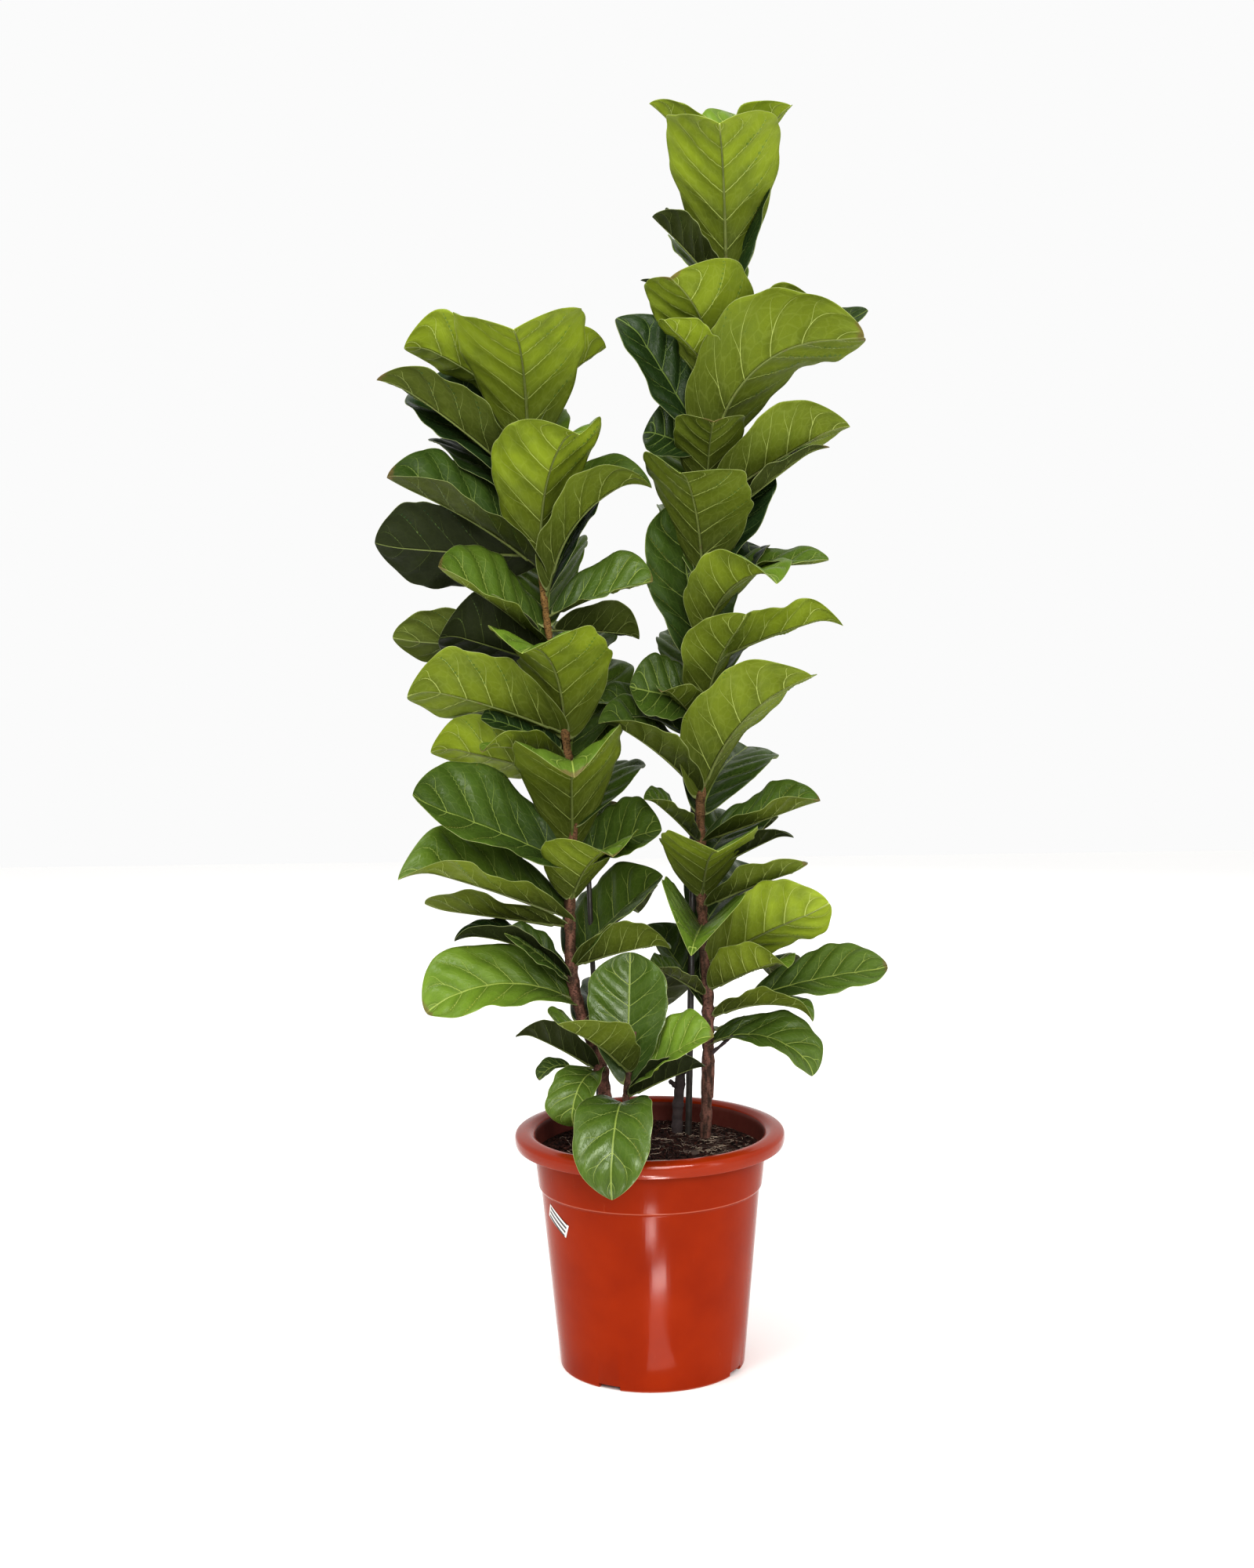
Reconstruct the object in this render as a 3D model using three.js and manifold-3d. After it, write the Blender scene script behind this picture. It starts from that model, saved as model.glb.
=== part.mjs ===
// Potted fiddle leaf fig. Two tall leafy stems, a short front shoot and a cut-back stump stand
// in a terracotta-coloured nursery pot full of soil, with two dark stakes and a blank sticker.
// Millimetres, +Z up, the front faces -Y. The origin is the middle of the pot's flat underside.
import * as THREE from 'three';
import Module from 'manifold-3d';
import { mergeVertices } from 'three/addons/utils/BufferGeometryUtils.js';

const wasm = await Module();
wasm.setup();

// ---- driving dimensions: pot, soil and sticker -------------------------------------------------
const POT_HEIGHT = 308;
const LIP_RADIUS = 173; // outermost edge of the rolled lip
const LIP_DROP = 20; // height of the rolled lip
// The lip's section, as steps in from its outer edge and down from the pot's top: the hollow
// under the roll, the roll's lower edge, the roll itself, and the inner edge.
const LIP_SECTION = [
  [23, 7], [19, 4], [10, 5], [4.5, 10], [3, LIP_DROP], [0, LIP_DROP],
  [0, 12], [3, 6], [9, 1.5], [14, 0], [22, 0], [25, 2.5],
];
const COLLAR_TOP_RADIUS = 149; // outer wall just under the lip
const COLLAR_LOW_RADIUS = 143.5; // outer wall just above the step line
const STEP_HEIGHT = 235; // height of the step line under the collar
const STEP_IN = 3;
const FOOT_RADIUS = 119;
const WALL = 3;
const FLOOR_RISE = 7; // the floor stands this high over the foot ring and the middle pad
const FOOT_RING_WIDTH = 5;
const PAD_RADIUS = 30; // flat pad in the middle of the underside
const FOOT_NOTCHES = 4;
const FOOT_NOTCH_WIDTH = 30;
const FOOT_NOTCH_HEIGHT = 5.5;
const FOOT_NOTCH_DEPTH = 12;
const FOOT_NOTCH_BEARING = -28;
const DRAIN_HOLES = 6;
const DRAIN_RADIUS = 5;
const DRAIN_SIDES = 8;
const DRAIN_CIRCLE = 72;
const POT_SIDES = 28;

const SOIL_TOP = 278;
const SOIL_RINGS = [125, 95, 62, 30, 0]; // radii of the rings of points that carry the mounds
const MOUND_HEIGHT = 6; // from the soil's level to the highest mounds
const MOUND_LONG = 180; // crest to crest of the broad mounds
const MOUND_SHORT = 94; // and of the narrow ones
const CLEARANCE = 0.3; // gap between pieces that touch
const ROOT_LEVEL = 235; // how far down the stems and stakes stand in the soil

const STICKER_LONG = 45;
const STICKER_SHORT = 19;
const STICKER_THICK = 0.4;
const STICKER_HEIGHT = 208; // height of its middle on the pot
const STICKER_BEARING = -58.5;
const STICKER_TILT = -25;
const STICKER_CELLS = 6; // flat strips along the bent sticker

// ---- driving dimensions: stems -----------------------------------------------------------------
// Each stem runs through points [x, y, z] and tapers from its foot radius to its top radius.
const LEFT_STEM = {
  foot: 9.2, top: 2.2,
  path: [
    [-50, 8, ROOT_LEVEL], [-54, 6, 300], [-58, 4, 363], [-66, 2, 406], [-80, 0, 440], [-92, 0, 477],
    [-98, 0, 518], [-98, 0, 599], [-94, 0, 659], [-91, 0, 720], [-99, 0, 809], [-104, 0, 859],
    [-118, 0, 938], [-127, 0, 1016], [-131, 0, 1070], [-137, 0, 1152], [-145, 0, 1215], [-146, 0, 1262],
  ],
};
const RIGHT_STEM = {
  foot: 7.6, top: 3.6,
  path: [
    [70, 42, ROOT_LEVEL], [73, 40, 290], [77, 35, 375], [78, 30, 460], [72, 25, 552], [69, 20, 654],
    [70, 15, 735], [75, 10, 820], [75, 10, 984], [82, 8, 1110], [92, 4, 1200], [106, 0, 1293],
    [108, 0, 1380], [106, 0, 1450], [103, 0, 1498],
  ],
};
const FRONT_STEM = {
  foot: 6, top: 2.5,
  path: [[-37, -60, ROOT_LEVEL], [-34, -60, 290], [-29, -60, 374], [-21, -60, 424], [-17, -58, 446]],
};
const STUMP = {
  foot: 7.2, top: 6.4,
  path: [[35, 74, ROOT_LEVEL], [37, 73, 300], [40, 72, 342], [43, 72, 369]],
};
// Short dead side shoots: height on the stem, bearing, reach, radius. They rise alike.
const STUMP_STUBS = [[340, -75, 17, 3.2], [358, 40, 12, 3.4]];
const RIGHT_STUBS = [[392, 62, 46, 2]];
const STUB_RISE = 40;
const RIGHT_STAKE = { foot: 4.5, top: 4.5, path: [[50, 62, ROOT_LEVEL], [69, 32, 975]] };
const LEFT_STAKE = { foot: 3.5, top: 3.5, path: [[-62, 28, ROOT_LEVEL], [-74, 22, 640]] };
const STEM_SIDES = 6;

// ---- driving dimensions: leaves ----------------------------------------------------------------
// One row is one leaf: height on the stem, bearing (0 = front, 90 = right, -90 = left), rise of
// the leaf stalk, bend down along the blade, blade length, blade width, cup of the two halves,
// roll about the midrib (positive lifts the half that is right when seen from the stem's front),
// sideways sweep along the blade, length of the leaf stalk, and for a leaf with a drawn-out tip
// how sharply it closes there. Angles are degrees.
const LEFT_LEAVES = [
  // crown
  [1172, -3, 75, 82, 195, 176, 15, 3, 0, 26],
  [1214, -100, 42, 22, 150, 130, 10, 40, 0, 24],
  [1195, 108, 56, 30, 125, 125, 10, -25, 0, 24],
  [1120, -79, 43, 12, 210, 105, 15, 20, 0, 26],
  [1122, -121, 47, 22, 195, 140, 12, -34, 0, 26],
  [1185, 170, 59, 30, 120, 100, 20, 0, 0, 20],
  [1032, 17, 80, 62, 190, 145, 14, 0, 14, 26],
  [1024, -75, 38, 18, 202, 145, 26, -24, 0, 20],
  [982, 80, 74, 62, 177, 118, 34, 14, 0, 40],
  [1040, -105, 2, -4, 198, 124, 5, 66, 0, 24],
  [1095, -128, 42, 20, 165, 120, 10, -20, 0, 24],
  // upper middle
  [920, -62, 42, 20, 162, 130, 18, -34, 0, 26],
  [900, -78, 20, 4, 128, 130, 10, 52, 0, 24],
  [914, -98, 8, 5, 182, 88, 10, 62, 0, 26],
  [816, -83, 24, 14, 182, 150, 5, 42, 0, 24],
  [962, 74, 24, 16, 122, 108, 15, 30, 0, 24],
  [946, 90, 0, 10, 95, 92, 15, -30, 0, 20],
  [812, -12, 76, 84, 185, 152, 10, -2, -12, 24],
  [790, -85, 32, 20, 95, 84, 10, -30, 0, 24],
  [776, -58, 24, 25, 105, 80, 10, 15, 0, 24],
  [752, 122, 50, 20, 85, 76, 10, 10, 0, 20],
  [762, -105, 12, 0, 160, 112, 10, 50, 0, 24],
  [985, 135, 58, 8, 130, 84, 12, 0, 0, 30],
  // lower middle
  [672, 2, 76, 82, 184, 152, 15, 8, 0, 26],
  [648, -70, 28, 8, 206, 152, 14, -40, 0, 24],
  [581, -72, 24, 8, 205, 150, 26, -18, 0, 24],
  [570, -100, 7, 2, 168, 92, 10, 24, 0, 24],
  [600, 28, 52, 40, 125, 128, 12, 0, 0, 24],
  [642, 84, 34, 25, 104, 118, 10, 32, 0, 24],
  [502, -84, 40, 42, 142, 106, 10, 6, 0, 24],
  [496, -63, 43, 10, 100, 62, 10, -42, 0, 20],
  [474, -75, 26, 60, 182, 116, 10, -38, 0, 24],
  [518, 75, 20, 12, 116, 100, 12, -28, 0, 20],
  [517, 101, 50, 18, 142, 132, 10, 14, 0, 24],
  // near the soil
  [380, -82, 34, 12, 102, 92, 10, 25, 0, 20],
  [384, -84, 8, 75, 40, 34, 10, -20, 0, 46],
  [378, -26, 14, 112, 102, 72, 12, 0, 0, 20],
];
const RIGHT_LEAVES = [
  // crown, partly above the photographed stretch
  [1385, -5, 75, 70, 200, 160, 20, 0, 0, 24],
  [1345, 140, 72, 4, 190, 112, 10, 0, 0, 24],
  [1350, -92, 54, 14, 112, 98, 12, 10, 0, 24],
  [1362, -125, 59, 20, 110, 90, 10, 0, 0, 24],
  [1438, 50, 67, 30, 150, 105, 14, 0, 0, 20],
  [1450, -78, 69, 30, 145, 95, 14, 0, 0, 20],
  [1470, 165, 70, 30, 130, 85, 14, 0, 0, 18],
  [1222, -18, 75, 58, 172, 146, 16, 14, -20, 24],
  [1245, -98, 60, 5, 140, 60, 15, 0, 0, 24],
  [1246, -47, 45, 20, 100, 80, 10, 0, 0, 20],
  [1160, -85, 61, 5, 182, 92, 8, -58, 0, 24],
  [1162, 50, 70, 88, 245, 162, 10, -30, 12, 26],
  [1275, 72, 36, 12, 115, 100, 10, -20, 0, 24],
  [1236, 98, 32, 12, 190, 75, 10, 30, 0, 24],
  // upper middle
  [1160, -95, 25, 10, 66, 98, 8, -50, 0, 24],
  [1105, 4, 72, 60, 112, 95, 12, 0, 0, 22],
  [1098, 77, 33, 8, 172, 132, 12, -26, 0, 32],
  [1012, -14, 72, 60, 165, 146, 8, -14, 0, 24],
  [996, 108, 64, 8, 150, 112, 12, 38, 0, 26],
  [1065, 75, 38, 5, 160, 45, 18, 0, 0, 28],
  [892, -128, 78, -4, 192, 130, 8, -32, 0, 24],
  [932, 42, 62, 70, 145, 125, 12, -5, 0, 24],
  [1003, 85, 16, 20, 135, 78, 10, 15, 0, 24],
  [960, 125, 52, 20, 110, 100, 10, 10, 0, 24],
  [835, 42, 74, 40, 128, 108, 14, 0, 0, 24],
  [900, 76, 24, 10, 160, 92, 12, -22, 0, 26],
  [850, -80, 16, 5, 88, 100, 8, -55, 0, 10],
  [814, -40, 46, 20, 82, 70, 10, 0, 0, 20],
  // lower middle
  [733, 58, 66, 50, 205, 168, 8, -12, 0, 26],
  [738, -60, 44, 20, 152, 122, 22, -22, 0, 24],
  [800, -100, 30, 20, 130, 90, 10, -20, 0, 24],
  [674, 76, 20, 0, 140, 100, 22, 12, 0, 24],
  [672, -52, 42, 10, 90, 72, 16, -20, 0, 20],
  [598, 8, 58, 60, 126, 134, 14, 0, 0, 24],
  [632, 80, 28, 5, 105, 68, 10, -10, 0, 24],
  [588, 70, 26, 10, 128, 95, 10, -12, 0, 24],
  [566, -8, 0, 8, 104, 172, 40, -10, 0, 20],
  [512, 68, 32, 12, 160, 122, 8, -50, 0, 26],
  [478, 52, 28, 10, 112, 110, 12, -20, 0, 24],
  // near the soil
  [452, 94, 16, 14, 155, 90, 6, 32, 0, 84],
  [442, 68, 24, 44, 124, 85, 10, -15, 0, 26],
  [426, 140, -8, 10, 70, 60, 10, -20, 0, 22],
  [408, 70, 22, 78, 140, 86, 10, 20, 0, 22],
  [470, -60, 34, 10, 78, 76, 14, -10, 0, 20],
  [452, -130, 50, 10, 120, 90, 10, 0, 0, 24],
];
const FRONT_LEAVES = [
  [394, -46, 44, 26, 124, 122, 12, 0, 0, 20],
  [352, -7, 22, 105, 190, 100, 8, 0, 0, 18, 0.3],
  [380, 172, 74, 0, 145, 106, 6, 0, 0, 20],
  [372, 66, 42, 16, 122, 108, 10, 30, 0, 20],
  [362, 78, 28, 8, 92, 86, 10, -25, 0, 18],
  [344, -28, 12, 95, 80, 46, 8, 10, 0, 14],
];

const STALK_HALF_WIDTH = 2.4;
const STALK_HALF_THICK = 1.8;
const BLADE_HALF_THICK = 0.45;
const WIDEST = 0.59; // where along the blade it is widest
const BASE_FULLNESS = 3.6; // how squarely the blade closes at its base
const TIP_FULLNESS = 2.5; // and at its tip
const ROUND_END = 0.5; // the power that closes either end in a round curve
const WAIST = 0.09; // how far the blade narrows in the fiddle's waist, as a part of its width
const WAIST_AT = 0.27;
const WAIST_SPREAD = 0.12;
const EAR = 0.15; // how far the two lobes at the base reach back, as a part of the length
const EAR_END = 0.25;
const MARGIN_CURL = 12; // the halves rise more steeply towards their margins, in degrees
const MARGIN_WAVE = 0.028; // height of the waves along the margins, as a part of the length
const WAVES = 1.9; // waves along each margin
const WAVE_TURN = 2.4; // the waves start this much later on each next leaf, in radians
const WAVE_SPLIT = 1.3; // and this much later on the second margin than on the first
const MIDRIB_STEPS = 40;
const SLIVER = 0.1; // slivers thinner than this where leaves cross are smoothed away
const STATIONS = [0.1, 0.27, 0.47, 0.68, 0.87]; // cross sections of a blade, between its ends
const ACROSS = [-1, 0, 1];

// The leaves that the front doesn't show follow one rule up each tall stem: a spiral that turns
// by the golden angle within the fan at the back, with a seeded draw for their sizes.
const GOLDEN_ANGLE = 137.5;
const BACK_FAN_START = 145;
const BACK_FAN = 66;
const BACK_LEFT = { count: 9, from: 450, to: 1120, seed: 37 };
const BACK_RIGHT = { count: 12, from: 490, to: 1300, seed: 17 };
const BACK_RISE_LOW = 22; // rise of the lowest back leaf's stalk, and below of the highest one's
const BACK_RISE_HIGH = 58;
const BACK_SPREAD = {
  rise: [-8, 8], length: [155, 200], bend: [15, 50], breadth: [0.62, 0.76], // breadth by length
  cup: [6, 16], roll: [-18, 18], sweep: [-10, 10], stalk: [20, 28],
};

// ---- materials ---------------------------------------------------------------------------------
const paint = (color, roughness) => new THREE.MeshStandardMaterial({ color, roughness, metalness: 0 });
const terracotta = paint(0xb23a1c, 0.32);
const peat = paint(0x2b1d16, 0.95);
const leafGreen = paint(0x5f8a2e, 0.45);
const bark = paint(0x4a3528, 0.85);
const blackPlastic = paint(0x15130f, 0.5);
const white = paint(0xe8e8e6, 0.6);

// ---- closed meshes to solids and back ----------------------------------------------------------
function solidOf(positions, faces) {
  return new wasm.Manifold(new wasm.Mesh({
    numProp: 3,
    vertProperties: new Float32Array(positions),
    triVerts: new Uint32Array(faces),
  }));
}

function solidOfGeometry(geometry) {
  geometry.deleteAttribute('normal');
  geometry.deleteAttribute('uv');
  const merged = mergeVertices(geometry, 1e-3);
  const index = merged.index.array;
  const faces = [];
  for (let i = 0; i < index.length; i += 3) {
    const [a, b, c] = [index[i], index[i + 1], index[i + 2]];
    if (a !== b && b !== c && c !== a) faces.push(a, b, c);
  }
  return solidOf(merged.attributes.position.array, faces);
}

function largestPiece(solid) {
  return solid.decompose().reduce((best, piece) => (piece.volume() > best.volume() ? piece : best));
}

function meshOf(name, solid, material) {
  const { vertProperties, triVerts, numProp } = largestPiece(solid).getMesh();
  const positions = [];
  for (let i = 0; i < vertProperties.length; i += numProp) {
    positions.push(vertProperties[i], vertProperties[i + 1], vertProperties[i + 2]);
  }
  const geometry = new THREE.BufferGeometry();
  geometry.setAttribute('position', new THREE.Float32BufferAttribute(positions, 3));
  geometry.setIndex(Array.from(triVerts));
  geometry.computeVertexNormals();
  const mesh = new THREE.Mesh(geometry, material);
  mesh.name = name;
  return mesh;
}

// ---- directions and stems ----------------------------------------------------------------------
const radians = THREE.MathUtils.degToRad;

function direction(bearing, rise) {
  const [b, e] = [radians(bearing), radians(rise)];
  return new THREE.Vector3(Math.sin(b) * Math.cos(e), -Math.cos(b) * Math.cos(e), Math.sin(e));
}

function pointOnStem({ path }, height) {
  const last = path.length - 2;
  const i = Math.min(last, Math.max(0, path.findIndex((point) => point[2] > height) - 1));
  const from = new THREE.Vector3(...path[i]);
  const to = new THREE.Vector3(...path[i + 1]);
  return from.clone().lerp(to, (height - from.z) / (to.z - from.z));
}

// A rod with level rings at the stem's own points; grow widens and lengthens it all round.
function rod({ path, foot, top }, sides, grow = 0) {
  const positions = [];
  const faces = [];
  const [low, high] = [path[0][2], path[path.length - 1][2]];
  path.forEach(([x, y, z], k) => {
    const radius = THREE.MathUtils.lerp(foot, top, (z - low) / (high - low)) + grow;
    const level = z + (k === 0 ? -grow : 0) + (k === path.length - 1 ? grow : 0);
    for (let i = 0; i < sides; i += 1) {
      const angle = (2 * Math.PI * i) / sides;
      positions.push(x + radius * Math.cos(angle), y + radius * Math.sin(angle), level);
    }
  });
  const rings = path.length;
  for (let k = 0; k < rings - 1; k += 1) {
    for (let i = 0; i < sides; i += 1) {
      const [a, b] = [k * sides + i, k * sides + ((i + 1) % sides)];
      faces.push(a, b, b + sides, a, b + sides, a + sides);
    }
  }
  const crown = (rings - 1) * sides;
  for (let i = 1; i < sides - 1; i += 1) {
    faces.push(0, i + 1, i, crown, crown + i, crown + i + 1);
  }
  return solidOf(positions, faces);
}

// A straight stick between two points.
function stick(from, to, radius, sides) {
  const along = to.clone().sub(from).normalize();
  const side = new THREE.Vector3(0, 0, 1).cross(along);
  if (side.length() < 0.1) side.set(1, 0, 0).cross(along);
  side.normalize();
  const other = along.clone().cross(side);
  const positions = [];
  for (const end of [from, to]) {
    for (let i = 0; i < sides; i += 1) {
      const angle = (2 * Math.PI * i) / sides;
      const point = end.clone().addScaledVector(side, radius * Math.cos(angle));
      point.addScaledVector(other, radius * Math.sin(angle));
      positions.push(point.x, point.y, point.z);
    }
  }
  const faces = [];
  for (let i = 0; i < sides; i += 1) {
    const j = (i + 1) % sides;
    faces.push(i, j, j + sides, i, j + sides, i + sides);
  }
  for (let i = 1; i < sides - 1; i += 1) faces.push(0, i + 1, i, sides, sides + i, sides + i + 1);
  return solidOf(positions, faces);
}

// ---- leaves ------------------------------------------------------------------------------------
// Half the blade's breadth at t (0 = base, 1 = tip), as a part of half its width.
function outline(t, sharpness) {
  const s = 2 * t ** (Math.log(0.5) / Math.log(WIDEST)) - 1;
  const closing = s < 0 ? ROUND_END : ROUND_END + sharpness;
  const full = (1 - Math.abs(s) ** (s < 0 ? BASE_FULLNESS : TIP_FULLNESS)) ** closing;
  return full * (1 - WAIST * Math.exp(-(((t - WAIST_AT) / WAIST_SPREAD) ** 2)));
}

function leafSolid(stem, row, index) {
  const [height, bearing, rise, bend, length, width, cup, roll, sweep, stalk, sharpness = 0] = row;
  const foot = pointOnStem(stem, height);
  const midrib = [foot.clone().addScaledVector(direction(bearing, rise), stalk)];
  for (let k = 0; k < MIDRIB_STEPS; k += 1) {
    const t = (k + 0.5) / MIDRIB_STEPS;
    const step = direction(bearing + sweep * t, rise - bend * t).multiplyScalar(length / MIDRIB_STEPS);
    midrib.push(midrib[k].clone().add(step));
  }
  const midribAt = (t) => {
    const k = Math.min(MIDRIB_STEPS - 1, Math.floor(t * MIDRIB_STEPS));
    return midrib[k].clone().lerp(midrib[k + 1], t * MIDRIB_STEPS - k);
  };

  const frameAt = (t) => {
    const heading = radians(bearing + sweep * t);
    const along = direction(bearing + sweep * t, rise - bend * t);
    const level = new THREE.Vector3(Math.cos(heading), Math.sin(heading), 0);
    const upper = along.clone().cross(level);
    const turn = radians(roll);
    const side = level.clone().multiplyScalar(Math.cos(turn)).addScaledVector(upper, Math.sin(turn));
    const face = upper.clone().multiplyScalar(Math.cos(turn)).addScaledVector(level, -Math.sin(turn));
    return { along, side, face };
  };

  // The point of the blade at t and u (-1 = one margin, 1 = the other), and the normal there.
  const bladeAt = (t, u) => {
    const { along, side, face } = frameAt(t);
    const half = (width / 2) * outline(t, sharpness);
    const tilt = radians(cup + MARGIN_CURL * Math.abs(u));
    const phase = 2 * Math.PI * WAVES * t + index * WAVE_TURN + (u > 0 ? WAVE_SPLIT : 0);
    const wave = MARGIN_WAVE * length * u * u * Math.sin(Math.PI * t) * Math.sin(phase);
    const lobe = EAR * length * Math.abs(u) * Math.max(0, 1 - t / EAR_END) ** 2;
    const point = midribAt(t).addScaledVector(side, u * half * Math.cos(tilt));
    point.addScaledVector(face, Math.abs(u) * half * Math.sin(tilt) + wave);
    point.addScaledVector(along, -lobe);
    const normal = face.clone().multiplyScalar(Math.cos(tilt));
    if (u !== 0) normal.addScaledVector(side, -Math.sign(u) * Math.sin(tilt));
    return { point, normal };
  };

  // Two layers of the same points, one over the other, triangulated alike and sewn at the rim.
  const positions = [];
  const add = ({ point, normal }, halfThick = BLADE_HALF_THICK) => {
    const upper = point.clone().addScaledVector(normal, halfThick);
    const lower = point.clone().addScaledVector(normal, -halfThick);
    positions.push(upper.x, upper.y, upper.z, lower.x, lower.y, lower.z);
    return positions.length / 3 - 2;
  };
  const root = frameAt(0);
  const base = add({ point: foot, normal: root.face }, STALK_HALF_THICK);
  const stalkEnd = ACROSS.map((u) => {
    const point = midrib[0].clone().addScaledVector(root.side, u * STALK_HALF_WIDTH);
    return add({ point, normal: root.face }, STALK_HALF_THICK);
  });
  const rows = [stalkEnd, ...STATIONS.map((t) => ACROSS.map((u) => add(bladeAt(t, u))))];
  const tip = add({ point: midribAt(1), normal: frameAt(1).face });
  const faces = [];
  const face = (a, b, c) => faces.push(a, c, b, a + 1, b + 1, c + 1);
  const last = rows[rows.length - 1];
  for (let j = 0; j < ACROSS.length - 1; j += 1) {
    face(base, rows[0][j + 1], rows[0][j]);
    face(tip, last[j], last[j + 1]);
    for (let i = 0; i < rows.length - 1; i += 1) {
      const [a, b, c, d] = [rows[i][j], rows[i][j + 1], rows[i + 1][j + 1], rows[i + 1][j]];
      if (ACROSS[j] < 0) {
        face(a, b, c);
        face(a, c, d);
      } else {
        face(a, b, d);
        face(b, c, d);
      }
    }
  }
  const right = rows.map((points) => points[points.length - 1]);
  const left = rows.map((points) => points[0]).reverse();
  const rim = [base, ...right, tip, ...left];
  rim.forEach((a, i) => {
    const b = rim[(i + 1) % rim.length];
    faces.push(a, b + 1, a + 1, a, b, b + 1);
  });
  return solidOf(positions, faces);
}

function backLeaves({ count, from, to, seed }) {
  // A seeded draw by the minimal standard generator, the same on every build.
  let state = seed;
  const draw = (trait) => {
    const [low, high] = BACK_SPREAD[trait];
    state = (state * 16807) % 2147483647;
    return low + ((high - low) * state) / 2147483647;
  };
  return Array.from({ length: count }, (_, i) => {
    const share = i / (count - 1);
    const bearing = BACK_FAN_START + ((i * GOLDEN_ANGLE) % BACK_FAN);
    const rise = THREE.MathUtils.lerp(BACK_RISE_LOW, BACK_RISE_HIGH, share) + draw('rise');
    const length = draw('length');
    return [
      THREE.MathUtils.lerp(from, to, share), bearing, rise, draw('bend'), length,
      length * draw('breadth'), draw('cup'), draw('roll'), draw('sweep'), draw('stalk'),
    ];
  });
}

// A stem with its dead side shoots.
function woodyStem(stem, stubs) {
  const sticks = stubs.map(([height, bearing, reach, radius]) => {
    const from = pointOnStem(stem, height);
    const to = from.clone().addScaledVector(direction(bearing, STUB_RISE), reach);
    return stick(from, to, radius, STEM_SIDES);
  });
  return wasm.Manifold.union([rod(stem, STEM_SIDES), ...sticks]);
}

// A stem with its leaves grown into one solid, cut clear of the stakes and stump that it touches.
function leafyStem(name, stem, stubs, leaves, clearOf) {
  const solids = leaves.map((row, index) => leafSolid(stem, row, index));
  let grown = wasm.Manifold.union([woodyStem(stem, stubs), ...solids]);
  for (const stake of clearOf) grown = grown.subtract(rod(stake, STEM_SIDES, CLEARANCE));
  return meshOf(name, grown.simplify(SLIVER), leafGreen);
}

// ---- pot, soil and sticker ---------------------------------------------------------------------
const LIP_BASE = POT_HEIGHT - LIP_DROP;
const FLOOR_TOP = FLOOR_RISE + WALL;

// Radius of the pot's outer wall at a height, between the foot and the lip.
function wallRadius(z) {
  if (z < STEP_HEIGHT) {
    return THREE.MathUtils.lerp(FOOT_RADIUS, COLLAR_LOW_RADIUS - STEP_IN, z / STEP_HEIGHT);
  }
  const share = (z - STEP_HEIGHT) / (LIP_BASE - STEP_HEIGHT);
  return THREE.MathUtils.lerp(COLLAR_LOW_RADIUS, COLLAR_TOP_RADIUS, share);
}

function lathe(profile) {
  const points = profile.map(([r, z]) => new THREE.Vector2(r, z));
  const geometry = new THREE.LatheGeometry(points, POT_SIDES);
  geometry.rotateX(Math.PI / 2);
  return geometry;
}

function potSolid() {
  const profile = [
    // pad, raised floor and foot ring
    [0, 0], [PAD_RADIUS, 0], [PAD_RADIUS + 3, FLOOR_RISE],
    [FOOT_RADIUS - FOOT_RING_WIDTH - 2, FLOOR_RISE], [FOOT_RADIUS - FOOT_RING_WIDTH, 0],
    [FOOT_RADIUS - 1, 0], [FOOT_RADIUS, 2],
    // outer wall, step and lip
    [wallRadius(STEP_HEIGHT - 2), STEP_HEIGHT - 2], [COLLAR_LOW_RADIUS, STEP_HEIGHT + 1],
    [wallRadius(LIP_BASE), LIP_BASE],
    ...LIP_SECTION.map(([inward, down]) => [LIP_RADIUS - inward, POT_HEIGHT - down]),
    // inner wall, step and floor
    [wallRadius(LIP_BASE) - WALL, LIP_BASE], [COLLAR_LOW_RADIUS - WALL, STEP_HEIGHT + 1],
    [COLLAR_LOW_RADIUS - STEP_IN - WALL, STEP_HEIGHT - WALL], [FOOT_RADIUS - WALL, FLOOR_TOP],
    [0, FLOOR_TOP],
  ];
  let pot = solidOfGeometry(lathe(profile));
  for (let i = 0; i < FOOT_NOTCHES; i += 1) {
    const notch = new THREE.BoxGeometry(FOOT_NOTCH_WIDTH, FOOT_NOTCH_DEPTH, 2 * FOOT_NOTCH_HEIGHT);
    notch.translate(0, 1 - FOOT_RADIUS, 0);
    notch.rotateZ(radians(FOOT_NOTCH_BEARING + (i * 360) / FOOT_NOTCHES));
    pot = pot.subtract(solidOfGeometry(notch));
  }
  for (let i = 0; i < DRAIN_HOLES; i += 1) {
    const hole = new THREE.CylinderGeometry(DRAIN_RADIUS, DRAIN_RADIUS, 4 * FLOOR_TOP, DRAIN_SIDES);
    hole.rotateX(Math.PI / 2);
    hole.translate(0, -DRAIN_CIRCLE, 0);
    hole.rotateZ(radians((i * 360) / DRAIN_HOLES));
    pot = pot.subtract(solidOfGeometry(hole));
  }
  return pot;
}

// Height of the soil's top over its level: broad mounds crossed by narrow ones.
function mound(x, y) {
  const [long, short] = [(2 * Math.PI) / MOUND_LONG, (2 * Math.PI) / MOUND_SHORT];
  const swell = Math.sin(x * long + 1) * Math.cos(y * long) + Math.sin((x + y) * short) / 2;
  return (MOUND_HEIGHT * (swell + 1.5)) / 3;
}

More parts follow.
